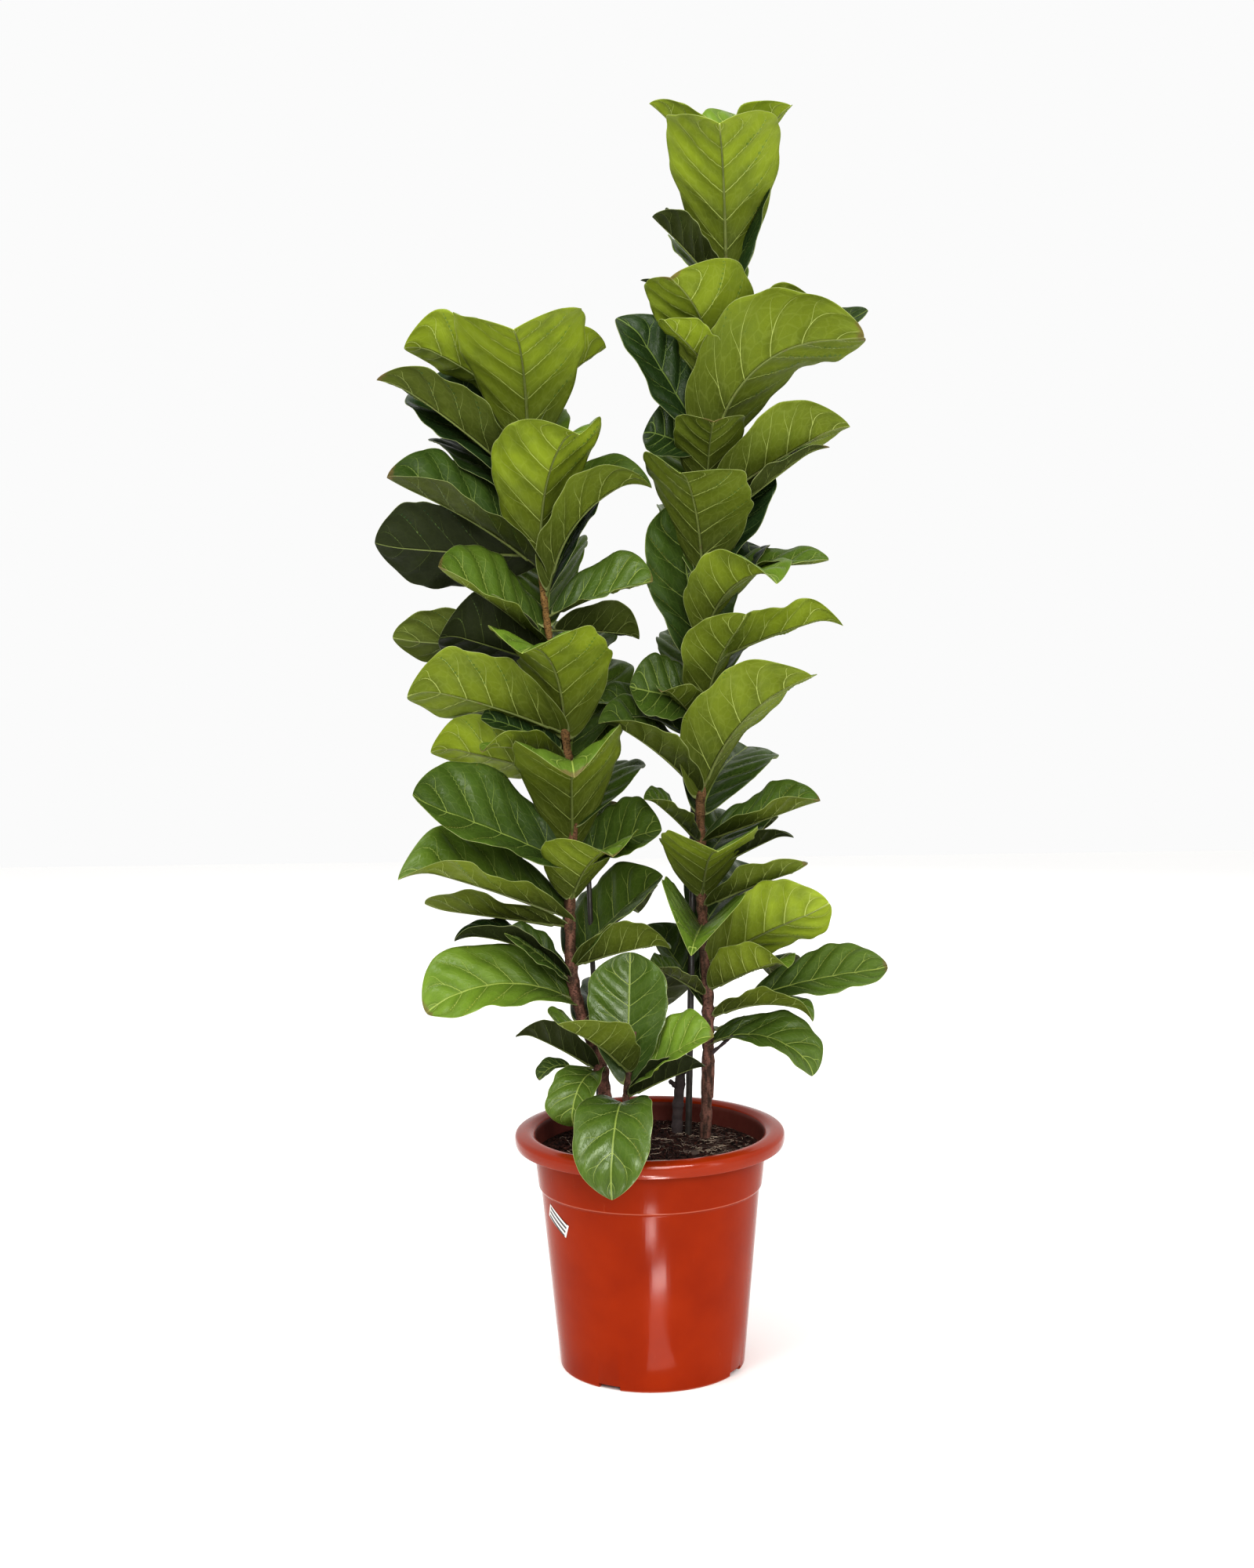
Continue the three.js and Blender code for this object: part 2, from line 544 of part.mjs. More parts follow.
// The soil fills the pot up to its level at the wall, with a gap all round it.
function soilSolid(standing) {
  const shell = WALL + CLEARANCE;
  const profile = [
    [0, FLOOR_TOP + CLEARANCE], [FOOT_RADIUS - shell, FLOOR_TOP + CLEARANCE],
    [COLLAR_LOW_RADIUS - STEP_IN - shell, STEP_HEIGHT - WALL],
    [COLLAR_LOW_RADIUS - shell, STEP_HEIGHT + 1 + CLEARANCE],
    [wallRadius(SOIL_TOP) - shell, SOIL_TOP],
    ...SOIL_RINGS.map((r) => [r, SOIL_TOP]),
  ];
  const geometry = lathe(profile);
  const position = geometry.attributes.position;
  for (let i = 0; i < position.count; i += 1) {
    const [x, y, z] = [position.getX(i), position.getY(i), position.getZ(i)];
    const inRings = Math.hypot(x, y) < SOIL_RINGS[0] + 1;
    if (z === SOIL_TOP && inRings) position.setZ(i, SOIL_TOP + mound(x, y));
  }
  let soil = solidOfGeometry(geometry);
  for (const stem of standing) soil = soil.subtract(rod(stem, STEM_SIDES, CLEARANCE));
  return soil;
}

// A thin sticker bent round the wall and turned askew on it.
function stickerSolid() {
  const positions = [];
  const faces = [];
  const turn = radians(STICKER_TILT);
  for (const lift of [CLEARANCE, CLEARANCE + STICKER_THICK]) {
    for (const v of [-0.5, 0.5]) {
      for (let i = 0; i <= STICKER_CELLS; i += 1) {
        const [a, b] = [STICKER_LONG * (i / STICKER_CELLS - 0.5), STICKER_SHORT * v];
        const along = a * Math.cos(turn) - b * Math.sin(turn);
        const z = STICKER_HEIGHT + a * Math.sin(turn) + b * Math.cos(turn);
        const radius = wallRadius(z) + lift;
        const angle = radians(STICKER_BEARING) + along / radius;
        positions.push(radius * Math.sin(angle), -radius * Math.cos(angle), z);
      }
    }
  }
  const row = STICKER_CELLS + 1;
  const [innerLow, innerHigh, outerLow, outerHigh] = [0, row, 2 * row, 3 * row];
  for (let i = 0; i < STICKER_CELLS; i += 1) {
    const quads = [
      [innerLow, innerHigh, innerHigh + 1, innerLow + 1],
      [outerLow, outerLow + 1, outerHigh + 1, outerHigh],
      [innerLow, innerLow + 1, outerLow + 1, outerLow],
      [innerHigh, outerHigh, outerHigh + 1, innerHigh + 1],
    ];
    for (const [a, b, c, d] of quads) faces.push(a + i, b + i, c + i, a + i, c + i, d + i);
  }
  const ends = [[innerLow, outerLow, outerHigh, innerHigh], [innerLow, innerHigh, outerHigh, outerLow]];
  ends.forEach(([a, b, c, d], i) => {
    const k = i * STICKER_CELLS;
    faces.push(a + k, b + k, c + k, a + k, c + k, d + k);
  });
  return solidOf(positions, faces);
}

// ---- the potted plant --------------------------------------------------------------------------
const standing = [LEFT_STEM, RIGHT_STEM, FRONT_STEM, STUMP, RIGHT_STAKE, LEFT_STAKE];
const leftLeaves = [...LEFT_LEAVES, ...backLeaves(BACK_LEFT)];
const rightLeaves = [...RIGHT_LEAVES, ...backLeaves(BACK_RIGHT)];
const plant = new THREE.Group();
plant.add(
  meshOf('pot', potSolid(), terracotta),
  meshOf('soil', soilSolid(standing), peat),
  meshOf('sticker', stickerSolid(), white),
  leafyStem('leafy_stem_left', LEFT_STEM, [], leftLeaves, [LEFT_STAKE]),
  leafyStem('leafy_stem_right', RIGHT_STEM, RIGHT_STUBS, rightLeaves, [RIGHT_STAKE, STUMP]),
  leafyStem('leafy_shoot_front', FRONT_STEM, [], FRONT_LEAVES, []),
  meshOf('stump', woodyStem(STUMP, STUMP_STUBS), bark),
  meshOf('stake_right', rod(RIGHT_STAKE, STEM_SIDES), blackPlastic),
  meshOf('stake_left', rod(LEFT_STAKE, STEM_SIDES), blackPlastic),
);

export default plant;
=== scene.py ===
import math
import random

import bmesh
import bpy
import numpy as np
from mathutils import Matrix, Vector, noise


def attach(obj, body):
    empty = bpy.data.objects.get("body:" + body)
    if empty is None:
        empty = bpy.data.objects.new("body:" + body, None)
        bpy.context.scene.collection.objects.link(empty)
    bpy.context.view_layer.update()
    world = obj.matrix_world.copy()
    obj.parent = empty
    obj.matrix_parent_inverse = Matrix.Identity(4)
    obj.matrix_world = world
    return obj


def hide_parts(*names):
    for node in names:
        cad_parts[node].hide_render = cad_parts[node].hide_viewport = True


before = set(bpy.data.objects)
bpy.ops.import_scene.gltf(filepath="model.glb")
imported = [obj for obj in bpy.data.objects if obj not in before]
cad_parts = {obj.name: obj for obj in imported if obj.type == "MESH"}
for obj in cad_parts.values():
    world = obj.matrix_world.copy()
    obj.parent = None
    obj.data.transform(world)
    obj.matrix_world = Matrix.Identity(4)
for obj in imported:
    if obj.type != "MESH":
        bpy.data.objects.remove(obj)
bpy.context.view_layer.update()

# ---- Pot ----------------------------------------------------------------------------------------
# The nursery pot is one moulding in glossy terracotta-coloured plastic, with a rolled lip, a
# collar over a step line, a tapered body and a notched foot ring. It carries everything else.
MM = 0.001  # sizes are in millimetres, and the scene is in metres
POT_HEIGHT = 308
LIP_RADIUS = 173
LIP_DROP = 20
# The rolled lip's section: steps in from its outer edge and down from its top, with roundings.
LIP_SECTION = (
    (23, 7, 2), (19, 4, 2), (10, 4, 4), (3.2, 10, 4), (4.6, 19, 1), (2, LIP_DROP, 2),
    (0, 14, 4), (0, 3, 9), (12, 0, 10), (18, 0, 8), (27, 5, 7),
)
COLLAR_TOP_RADIUS = 149
COLLAR_LOW_RADIUS = 143.5
STEP_HEIGHT = 235
STEP_IN = 3
FOOT_RADIUS = 119
WALL = 3
FLOOR_RISE = 7
FOOT_RING_WIDTH = 5
RING_SLOPE = 2
PAD_RADIUS = 30
PAD_SLOPE = 3
FOOT_NOTCHES = 4
FOOT_NOTCH_WIDTH = 30
FOOT_NOTCH_HEIGHT = 5.5
FOOT_NOTCH_BEARING = -28
NOTCH_EDGE = 0.002  # the turn, in radians, over which a notch's side rises
DRAIN_HOLES = 6
DRAIN_RADIUS = 5
DRAIN_SIDES = 32
DRAIN_CIRCLE = 72
POT_SIDES = 180
ARC_STEPS = 5
SHARP_ANGLE = 38
FLOOR_TOP = FLOOR_RISE + WALL
LIP_BASE = POT_HEIGHT - LIP_DROP
TERRACOTTA = (0.315, 0.0300, 0.002)
TERRACOTTA_WORN = (0.33, 0.055, 0.018)
TERRACOTTA_DEEP = (0.205, 0.0150, 0.0018)
TERRACOTTA_PALE_LINE = (0.50, 0.16, 0.10)
PALE_LINE_HEIGHTS = (1.0, STEP_HEIGHT + 1)  # heights of the foot's edge and the step line
PALE_LINE_SHARE = 0.55
PLASTIC_GLOSS = (0.13, 0.2)
BODY_SPECULAR = 0.07
LIP_SPECULAR = 0.22
CLOUD_SIZE = 70
WEAR_SIZE = 9
STREAK_SIZE = 3
DUST_SIZE = 8
INSIDE_PAINTED_SHADE = (0.105, 0.016, 0.011)
INSIDE_SHADE_DUSTY = (0.14, 0.034, 0.022)


def wall_radius(z):
    """Radius of the pot's outer wall at height z, between its foot and its lip."""
    if z < STEP_HEIGHT:
        return FOOT_RADIUS + (COLLAR_LOW_RADIUS - STEP_IN - FOOT_RADIUS) * z / STEP_HEIGHT
    share = (z - STEP_HEIGHT) / (LIP_BASE - STEP_HEIGHT)
    return COLLAR_LOW_RADIUS + (COLLAR_TOP_RADIUS - COLLAR_LOW_RADIUS) * share


def rounded(corners):
    """A line through corners (radius, height, rounding) with each corner turned into an arc."""
    line = []
    for i, (r, z, rounding) in enumerate(corners):
        corner = Vector((r, z))
        if rounding == 0 or i in (0, len(corners) - 1):
            line.append(corner)
            continue
        back = Vector(corners[i - 1][:2]) - corner
        ahead = Vector(corners[i + 1][:2]) - corner
        reach = min(rounding, back.length * 0.5, ahead.length * 0.5)
        start = corner + back.normalized() * reach
        end = corner + ahead.normalized() * reach
        for k in range(ARC_STEPS + 1):
            t = k / ARC_STEPS
            line.append(start * (1 - t) ** 2 + corner * 2 * t * (1 - t) + end * t ** 2)
    return line


def new_piece(name, shape, materials, face_materials=None, smooth=True):
    """A mesh piece from a shape, which is its points in millimetres and its faces."""
    points, faces = shape
    mesh = bpy.data.meshes.new(name)
    scaled = np.asarray(points, dtype=float) * MM
    mesh.from_pydata(scaled.tolist(), [], [list(face) for face in faces])
    for material in materials:
        mesh.materials.append(material)
    if face_materials is not None:
        mesh.polygons.foreach_set("material_index", np.asarray(face_materials, dtype=np.int32))
    mesh.polygons.foreach_set("use_smooth", [smooth] * len(mesh.polygons))
    mesh.update()
    piece = bpy.data.objects.new(name, mesh)
    bpy.context.scene.collection.objects.link(piece)
    return piece


def round_faces(rings, sides):
    """Faces of a closed round body: its rings of points from the bottom up, then its two ends."""
    bottom, top, last = rings * sides, rings * sides + 1, (rings - 1) * sides
    faces = []
    for i in range(sides):
        following = (i + 1) % sides
        faces += [(bottom, following, i), (top, last + i, last + following)]
        for k in range(0, last, sides):
            faces.append((k + i, k + following, k + sides + following, k + sides + i))
    return faces


def add_node(material, kind, inputs=None, **settings):
    """Adds a shader node, with its settings and with its inputs wired or set."""
    node = material.node_tree.nodes.new("ShaderNode" + kind)
    for name, value in settings.items():
        setattr(node, name, value)
    for key, value in (inputs or {}).items():
        if isinstance(value, bpy.types.NodeSocket):
            material.node_tree.links.new(value, node.inputs[key])
        else:
            node.inputs[key].default_value = value
    return node


def math_of(material, operation, first, second=0.0):
    """The result of one arithmetic step on sockets or numbers."""
    return add_node(material, "Math", {0: first, 1: second}, operation=operation).outputs[0]


def times(material, first, second):
    """The product of two sockets or numbers."""
    return math_of(material, "MULTIPLY", first, second)


def spread(material, value, low, high, to_low=0.0, to_high=1.0):
    """value, taken smoothly from the range low to high into the range to_low to to_high."""
    ranges = {
        "Value": value, "From Min": low, "From Max": high, "To Min": to_low, "To Max": to_high,
    }
    return add_node(material, "MapRange", ranges, interpolation_type="SMOOTHSTEP").outputs[0]


def tinted(material, share, first, second):
    """The colour first with the colour second over it by share; either may be a socket."""
    colours = {0: share}
    for key, colour in ((6, first), (7, second)):
        colours[key] = colour if isinstance(colour, bpy.types.NodeSocket) else (*colour, 1)
    return add_node(material, "Mix", colours, data_type="RGBA").outputs[2]


def mottle(material, size, detail=4.0, stretch=(1, 1, 1)):
    """Soft irregular patches, about size millimetres across, between 0 and 1."""
    spot = add_node(material, "TexCoord").outputs["Object"]
    mapped = add_node(material, "Mapping", {"Vector": spot, "Scale": stretch}).outputs[0]
    settings = {"Vector": mapped, "Scale": 1 / (size * MM), "Detail": detail}
    return add_node(material, "TexNoise", settings).outputs["Fac"]


def height_on(material):
    """The height of a spot on the piece, in metres."""
    spot = add_node(material, "TexCoord").outputs["Object"]
    return add_node(material, "SeparateXYZ", {0: spot}).outputs["Z"]


def new_material(name, colour, roughness, **inputs):
    """A material with its Principled shader set; colour may be changed later by dress."""
    material = bpy.data.materials.new(name)
    material.use_nodes = True
    shader = material.node_tree.nodes["Principled BSDF"]
    shader.inputs["Base Color"].default_value = (*colour, 1)
    shader.inputs["Roughness"].default_value = roughness
    for key, value in inputs.items():
        shader.inputs[key.replace("_", " ")].default_value = value
    return material


def dress(material, colour=None, roughness=None, height=None, depth=0.5, strength=1.0):
    """Wires a pattern to the colour, the roughness and the relief; depth is in millimetres."""
    shader = material.node_tree.nodes["Principled BSDF"]
    links = material.node_tree.links
    if colour is not None:
        links.new(colour, shader.inputs["Base Color"])
    if roughness is not None:
        links.new(roughness, shader.inputs["Roughness"])
    if height is not None:
        relief = {"Height": height, "Distance": depth * MM, "Strength": strength}
        links.new(add_node(material, "Bump", relief).outputs[0], shader.inputs["Normal"])


def place(piece, slot, *nodes):
    """The piece rides on the plant's one body and stands for the named nodes; slot is not used."""
    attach(piece, "root")
    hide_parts(*nodes)


plastic = new_material("terracotta_plastic", TERRACOTTA, 0.2, Specular_IOR_Level=BODY_SPECULAR)
clouds = mottle(plastic, CLOUD_SIZE)
worn = mottle(plastic, WEAR_SIZE, stretch=(1, 1, 0.3))
worn = spread(plastic, worn, 0.66, 0.85, 0.0, 0.3)
streaks = mottle(plastic, STREAK_SIZE, detail=2.0, stretch=(1, 1, 0.04))
shade = tinted(plastic, clouds, TERRACOTTA_DEEP, TERRACOTTA)
shade = tinted(plastic, worn, shade, TERRACOTTA_WORN)
level = height_on(plastic)
# A paler line is painted along the foot's edge and along the step line.
for edge in PALE_LINE_HEIGHTS:
    away = math_of(plastic, "ABSOLUTE", math_of(plastic, "SUBTRACT", level, edge * MM))
    pale_line = spread(plastic, away, 0.3 * MM, 1.3 * MM, PALE_LINE_SHARE, 0.0)
    shade = tinted(plastic, pale_line, shade, TERRACOTTA_PALE_LINE)
gloss = math_of(plastic, "ADD", spread(plastic, clouds, 0.3, 0.8, *PLASTIC_GLOSS), worn)
dress(plastic, shade, gloss, streaks, depth=0.1)
lip_plastic = plastic.copy()
lip_plastic.name = "terracotta_lip"
lip_shader = lip_plastic.node_tree.nodes["Principled BSDF"]
lip_shader.inputs["Specular IOR Level"].default_value = LIP_SPECULAR
# The inside wall is a darker copy of the terracotta: painted shade, with dust mottled over it.
pot_inside_shaded = new_material("terracotta_inside_shaded", INSIDE_PAINTED_SHADE, 0.5, Specular_IOR_Level=0.15)
dust = mottle(pot_inside_shaded, DUST_SIZE)
dress(pot_inside_shaded, tinted(pot_inside_shaded, dust, INSIDE_PAINTED_SHADE, INSIDE_SHADE_DUSTY), height=dust, depth=0.3)

pot_profile = rounded([
    (0, 0, 0), (PAD_RADIUS, 0, 1), (PAD_RADIUS + PAD_SLOPE, FLOOR_RISE, 1),
    (FOOT_RADIUS - FOOT_RING_WIDTH - RING_SLOPE, FLOOR_RISE, 1),
    (FOOT_RADIUS - FOOT_RING_WIDTH, 0, 0.5), (FOOT_RADIUS, 0, 2),
    *[(wall_radius(z), z, 0) for z in (6, 60)],
    (wall_radius(STEP_HEIGHT - 2), STEP_HEIGHT - 2, 1.5),
    (COLLAR_LOW_RADIUS, STEP_HEIGHT + 1, 1.5), (COLLAR_TOP_RADIUS, LIP_BASE, 0),
    *[(LIP_RADIUS - inward, POT_HEIGHT - down, arc) for inward, down, arc in LIP_SECTION],
    (wall_radius(LIP_BASE) - WALL, LIP_BASE, 6), (COLLAR_LOW_RADIUS - WALL, STEP_HEIGHT + 1, 2),
    (COLLAR_LOW_RADIUS - STEP_IN - WALL, STEP_HEIGHT - WALL, 2), (FOOT_RADIUS - WALL, FLOOR_TOP, 5),
    (0, FLOOR_TOP, 0),
])
notch_half = FOOT_NOTCH_WIDTH / 2 / FOOT_RADIUS
notch_middles = [
    math.radians(FOOT_NOTCH_BEARING + 360 * i / FOOT_NOTCHES) for i in range(FOOT_NOTCHES)
]
bearings = {2 * math.pi * i / POT_SIDES for i in range(POT_SIDES)}
for middle in notch_middles:
    for offset in (-notch_half - NOTCH_EDGE, -notch_half, notch_half, notch_half + NOTCH_EDGE):
        bearings.add((middle + offset) % (2 * math.pi))
bearings = sorted(bearings)


def in_notch(bearing):
    """True where one of the foot ring's notches is open."""
    turns = [(bearing - middle + math.pi) % (2 * math.pi) - math.pi for middle in notch_middles]
    return min(map(abs, turns)) < notch_half + NOTCH_EDGE / 2


pot_points = []
for r, z in pot_profile[1:-1]:
    under_ring = r > FOOT_RADIUS - FOOT_RING_WIDTH - RING_SLOPE - 1 and z < FOOT_NOTCH_HEIGHT
    for bearing in bearings:
        level = FOOT_NOTCH_HEIGHT if under_ring and in_notch(bearing) else z
        pot_points.append((r * math.sin(bearing), -r * math.cos(bearing), level))
pot_points += [(0, 0, 0), (0, 0, FLOOR_TOP)]
pot_faces = round_faces(len(pot_profile) - 2, len(bearings))
pot = new_piece("pot_shell", (pot_points, pot_faces), [plastic])
shell = bmesh.new()
shell.from_mesh(pot.data)
bmesh.ops.remove_doubles(shell, verts=shell.verts, dist=0.00001)
bmesh.ops.recalc_face_normals(shell, faces=shell.faces)
shell.to_mesh(pot.data)
shell.free()
pot.data.set_sharp_from_angle(angle=math.radians(SHARP_ANGLE))

drill = bmesh.new()
for i in range(DRAIN_HOLES):
    bearing = 2 * math.pi * i / DRAIN_HOLES
    middle = Vector((math.sin(bearing), -math.cos(bearing), 0)) * DRAIN_CIRCLE * MM
    middle.z = FLOOR_TOP * MM / 2
    radius = DRAIN_RADIUS * MM
    bmesh.ops.create_cone(
        drill, cap_ends=True, segments=DRAIN_SIDES, radius1=radius, radius2=radius,
        depth=3 * FLOOR_TOP * MM, matrix=Matrix.Translation(middle),
    )
drill_mesh = bpy.data.meshes.new("drill")
drill.to_mesh(drill_mesh)
drill.free()
drill_piece = bpy.data.objects.new("drill", drill_mesh)
bpy.context.scene.collection.objects.link(drill_piece)
drilling = pot.modifiers.new("drilling", "BOOLEAN")
drilling.operation = "DIFFERENCE"
drilling.object = drill_piece
drilled = pot.evaluated_get(bpy.context.evaluated_depsgraph_get())
drilled = bpy.data.meshes.new_from_object(drilled)
pot.modifiers.clear()
pot.data = drilled
bpy.data.objects.remove(drill_piece)
pot.data.materials.append(pot_inside_shaded)
pot.data.materials.append(lip_plastic)
# The inside wall's faces take the painted-shade material, and the lip's faces the glossier plastic.
for face in pot.data.polygons:
    x, y, z = face.center / MM
    if z > FLOOR_TOP - 1 and math.hypot(x, y) < wall_radius(min(z, LIP_BASE)) - WALL / 2:
        face.material_index = 1
    elif z > LIP_BASE and math.hypot(x, y) > COLLAR_TOP_RADIUS:
        face.material_index = 2
place(pot, "pot_plastic", "pot")

# ---- Sticker ------------------------------------------------------------------------------------
# A small white label of coated paper is stuck askew on the body under the collar, and it bends
# with the wall. It is blank but for three plain dark bars.
STICKER_LONG = 45
STICKER_SHORT = 19
STICKER_THICK = 0.4
STICKER_HEIGHT = 208
STICKER_BEARING = -58.5
STICKER_TILT = -25
STICKER_GAP = 0.3
STICKER_CELLS = (24, 12)
STICKER_BARS = 3
BAR_SLANT = 0.15
PAPER_WHITE = (0.78, 0.77, 0.74)
PAPER_SHADED = (0.66, 0.65, 0.62)
BAR_GREY = (0.045, 0.04, 0.042)


def map_of(material, name):
    """The two values of one of a piece's maps."""
    spot = add_node(material, "UVMap", uv_map=name).outputs[0]
    parts = add_node(material, "SeparateXYZ", {0: spot})
    return parts.outputs["X"], parts.outputs["Y"]


def sheet_faces(rows, columns):
    """Faces of a closed sheet: the upper and the under layer of its points, and the rim."""
    layer = rows * columns
    index = np.arange(layer).reshape(rows, columns)
    corners = [index[:-1, :-1], index[:-1, 1:], index[1:, 1:], index[1:, :-1]]
    quads = np.stack(corners, axis=-1).reshape(-1, 4)
    border = np.concatenate([index[0, :-1], index[:-1, -1], index[-1, :0:-1], index[:0:-1, 0]])
    after = np.roll(border, -1)
    rim = np.stack([border, border + layer, after + layer, after], axis=-1)
    return quads, quads[:, ::-1] + layer, rim


paper = new_material("sticker_paper", PAPER_WHITE, 0.45)
along, across = map_of(paper, "sticker")
slant = times(paper, along, BAR_SLANT)
row = times(paper, math_of(paper, "ADD", across, slant), STICKER_BARS)
bars = spread(paper, math_of(paper, "PINGPONG", row, 0.5), 0.22, 0.26)
inside = spread(paper, math_of(paper, "PINGPONG", along, 0.5), 0.06, 0.07)
colour = tinted(paper, mottle(paper, 4), PAPER_WHITE, PAPER_SHADED)
colour = tinted(paper, times(paper, bars, inside), colour, BAR_GREY)
dress(paper, colour, height=mottle(paper, 2), depth=0.05)
turn = math.radians(STICKER_TILT)
columns, rows = STICKER_CELLS
label_points = []
label_uvs = []
for lift in (STICKER_GAP + STICKER_THICK, STICKER_GAP):
    for j in range(rows + 1):
        for i in range(columns + 1):
            a, b = STICKER_LONG * (i / columns - 0.5), STICKER_SHORT * (j / rows - 0.5)
            z = STICKER_HEIGHT + a * math.sin(turn) + b * math.cos(turn)
            radius = wall_radius(z) + lift
            sideways = a * math.cos(turn) - b * math.sin(turn)
            angle = math.radians(STICKER_BEARING) + sideways / radius
            label_points.append((radius * math.sin(angle), -radius * math.cos(angle), z))
            label_uvs.append((i / columns, j / rows))
label = (label_points, np.concatenate(sheet_faces(rows + 1, columns + 1)))
sticker = new_piece("sticker_label", label, [paper])
label_map = sticker.data.uv_layers.new(name="sticker")
for loop in sticker.data.loops:
    label_map.data[loop.index].uv = label_uvs[loop.vertex_index]
place(sticker, "sticker", "sticker")

# ---- Stems, stump and stakes --------------------------------------------------------------------
# Two old woody stems, a thin young one and a short cut-back stump stand in the soil. Their brown
# bark is ringed by leaf scars. Each stem's stake is a dark plastic-coated rod.
ROOT_LEVEL = 235
LEFT_STEM = {"radii": (9.2, 2.2), "path": [
    (-50, 8, ROOT_LEVEL), (-54, 6, 300), (-58, 4, 363), (-66, 2, 406), (-80, 0, 440), (-92, 0, 477),
    (-98, 0, 518), (-98, 0, 599), (-94, 0, 659), (-91, 0, 720), (-99, 0, 809), (-104, 0, 859),
    (-118, 0, 938), (-127, 0, 1016), (-131, 0, 1070), (-137, 0, 1152), (-145, 0, 1215),
    (-146, 0, 1262),
]}
RIGHT_STEM = {"radii": (7.6, 3.6), "path": [
    (70, 42, ROOT_LEVEL), (73, 40, 290), (77, 35, 375), (78, 30, 460), (72, 25, 552), (69, 20, 654),
    (70, 15, 735), (75, 10, 820), (75, 10, 984), (82, 8, 1110), (92, 4, 1200), (106, 0, 1293),
    (108, 0, 1380), (106, 0, 1450), (103, 0, 1498),
]}
FRONT_STEM = {"radii": (6, 2.5), "path": [
    (-37, -60, ROOT_LEVEL), (-34, -60, 290), (-29, -60, 374), (-21, -60, 424), (-17, -58, 446),
]}
STUMP = {"radii": (7.2, 6.4), "path": [
    (35, 74, ROOT_LEVEL), (37, 73, 300), (40, 72, 342), (43, 72, 369),
]}
# One row is one dead side shoot: height on the stem, bearing, reach and radius.
STUMP_STUBS = [(340, -75, 17, 3.2), (358, 40, 12, 3.4)]
RIGHT_STUBS = [(392, 62, 46, 2.0)]
STUB_RISE = 40
# Heights of the scars of leaves that fell off.
STUMP_SCARS = (290, 318, 346)
LEFT_SCARS = (300, 322, 346)
RIGHT_SCARS = (296, 312, 341, 349, 356, 363, 371, 378, 384, 391)
FRONT_SCARS = (300,)
RIGHT_STAKE = {"radii": (4.5, 4.5), "path": [(50, 62, ROOT_LEVEL), (69, 32, 975)]}
LEFT_STAKE = {"radii": (3.5, 3.5), "path": [(-62, 28, ROOT_LEVEL), (-74, 22, 640)]}
BARK_DARK = (0.040, 0.020, 0.015)
BARK_BROWN = (0.225, 0.100, 0.082)
BARK_PALE = (0.27, 0.150, 0.120)
BARK_YOUNG = (0.26, 0.150, 0.050)
DEAD_BARK_DARK = (0.012, 0.008, 0.008)
DEAD_BARK_PALE = (0.075, 0.045, 0.045)
YOUNG_FROM = 430
YOUNG_TO = 1050
SCAR_SWELL = 1.3
SCAR_LENGTH = 5
RING_SPACING = 3
KINK_RINGS = 5  # rings on either side over which a kink is worn smooth
TRUNK_SIDES = 24
STUB_SIDES = 16
STAKE_SIDES = 20
STAKE_RINGS = 60
BARK_SUNK = 0.3
BARK_WAVER = 1.2
STAKE_BLACK = (0.018, 0.015, 0.012)
STAKE_DUSTY = (0.045, 0.036, 0.028)


def point_on(stem, height):
    """The middle of a stem at a height."""
    path = np.array(stem["path"], dtype=float)
    return np.array([np.interp(height, path[:, 2], path[:, axis]) for axis in range(3)])


def direction(bearing, rise):
    """Unit vectors from bearings (0 = front, 90 = right) and rises, both in degrees."""
    b, e = np.radians(bearing), np.radians(rise)
    flat = np.cos(e)
    return np.stack([np.sin(b) * flat, -np.cos(b) * flat, np.sin(e) * np.ones_like(flat)], axis=-1)


def tube(line, radii, sides, waver=0.0):
    """Points and faces of a closed round rod along a line of points, with its radius at each."""
    line = np.asarray(line, dtype=float)
    headings = np.gradient(line, axis=0)
    headings /= np.linalg.norm(headings, axis=1, keepdims=True)
    start = np.array([1.0, 0, 0]) if abs(headings[0][0]) < 0.8 else np.array([0, 1.0, 0])
    points = []
    for middle, heading, radius in zip(line, headings, radii):
        start = start - heading * np.dot(start, heading)
        start /= np.linalg.norm(start)
        other = np.cross(heading, start)
        for i in range(sides):
            angle = 2 * math.pi * i / sides
            out = start * math.cos(angle) + other * math.sin(angle)
            point = middle + out * radius
            if waver:
                point = point + out * waver * noise.noise(Vector(point) / (2 * radius))
            points.append(point)
    return points + [line[0], line[-1]], round_faces(len(line), sides)


def joined(parts):
    """Several (points, faces) pairs as one."""
    points, faces = [], []
    for part_points, part_faces in parts:
        start = len(points)
        points += list(part_points)
        faces += [tuple(start + i for i in face) for face in part_faces]
    return points, faces


def woody(stem, scars):
    """A woody stem with a swelling ring at each leaf scar, its kinks worn smooth."""
    low, high = stem["path"][0][2], stem["path"][-1][2]
    heights = np.arange(low, high + RING_SPACING, RING_SPACING).clip(low, high)
    line = np.array([point_on(stem, z) for z in heights])
    wide_ends = np.pad(line[:, :2], ((KINK_RINGS, KINK_RINGS), (0, 0)), mode="edge")
    window = np.ones(2 * KINK_RINGS + 1) / (2 * KINK_RINGS + 1)
    for axis in range(2):
        line[:, axis] = np.convolve(wide_ends[:, axis], window, mode="valid")
    radii = np.interp(heights, (low, high), stem["radii"])
    for scar in scars:
        swell = SCAR_SWELL * np.exp(-((heights - scar) / SCAR_LENGTH) ** 2)
        radii = radii + swell * radii / stem["radii"][0]
    return tube(line, radii - BARK_SUNK, TRUNK_SIDES, waver=BARK_WAVER)


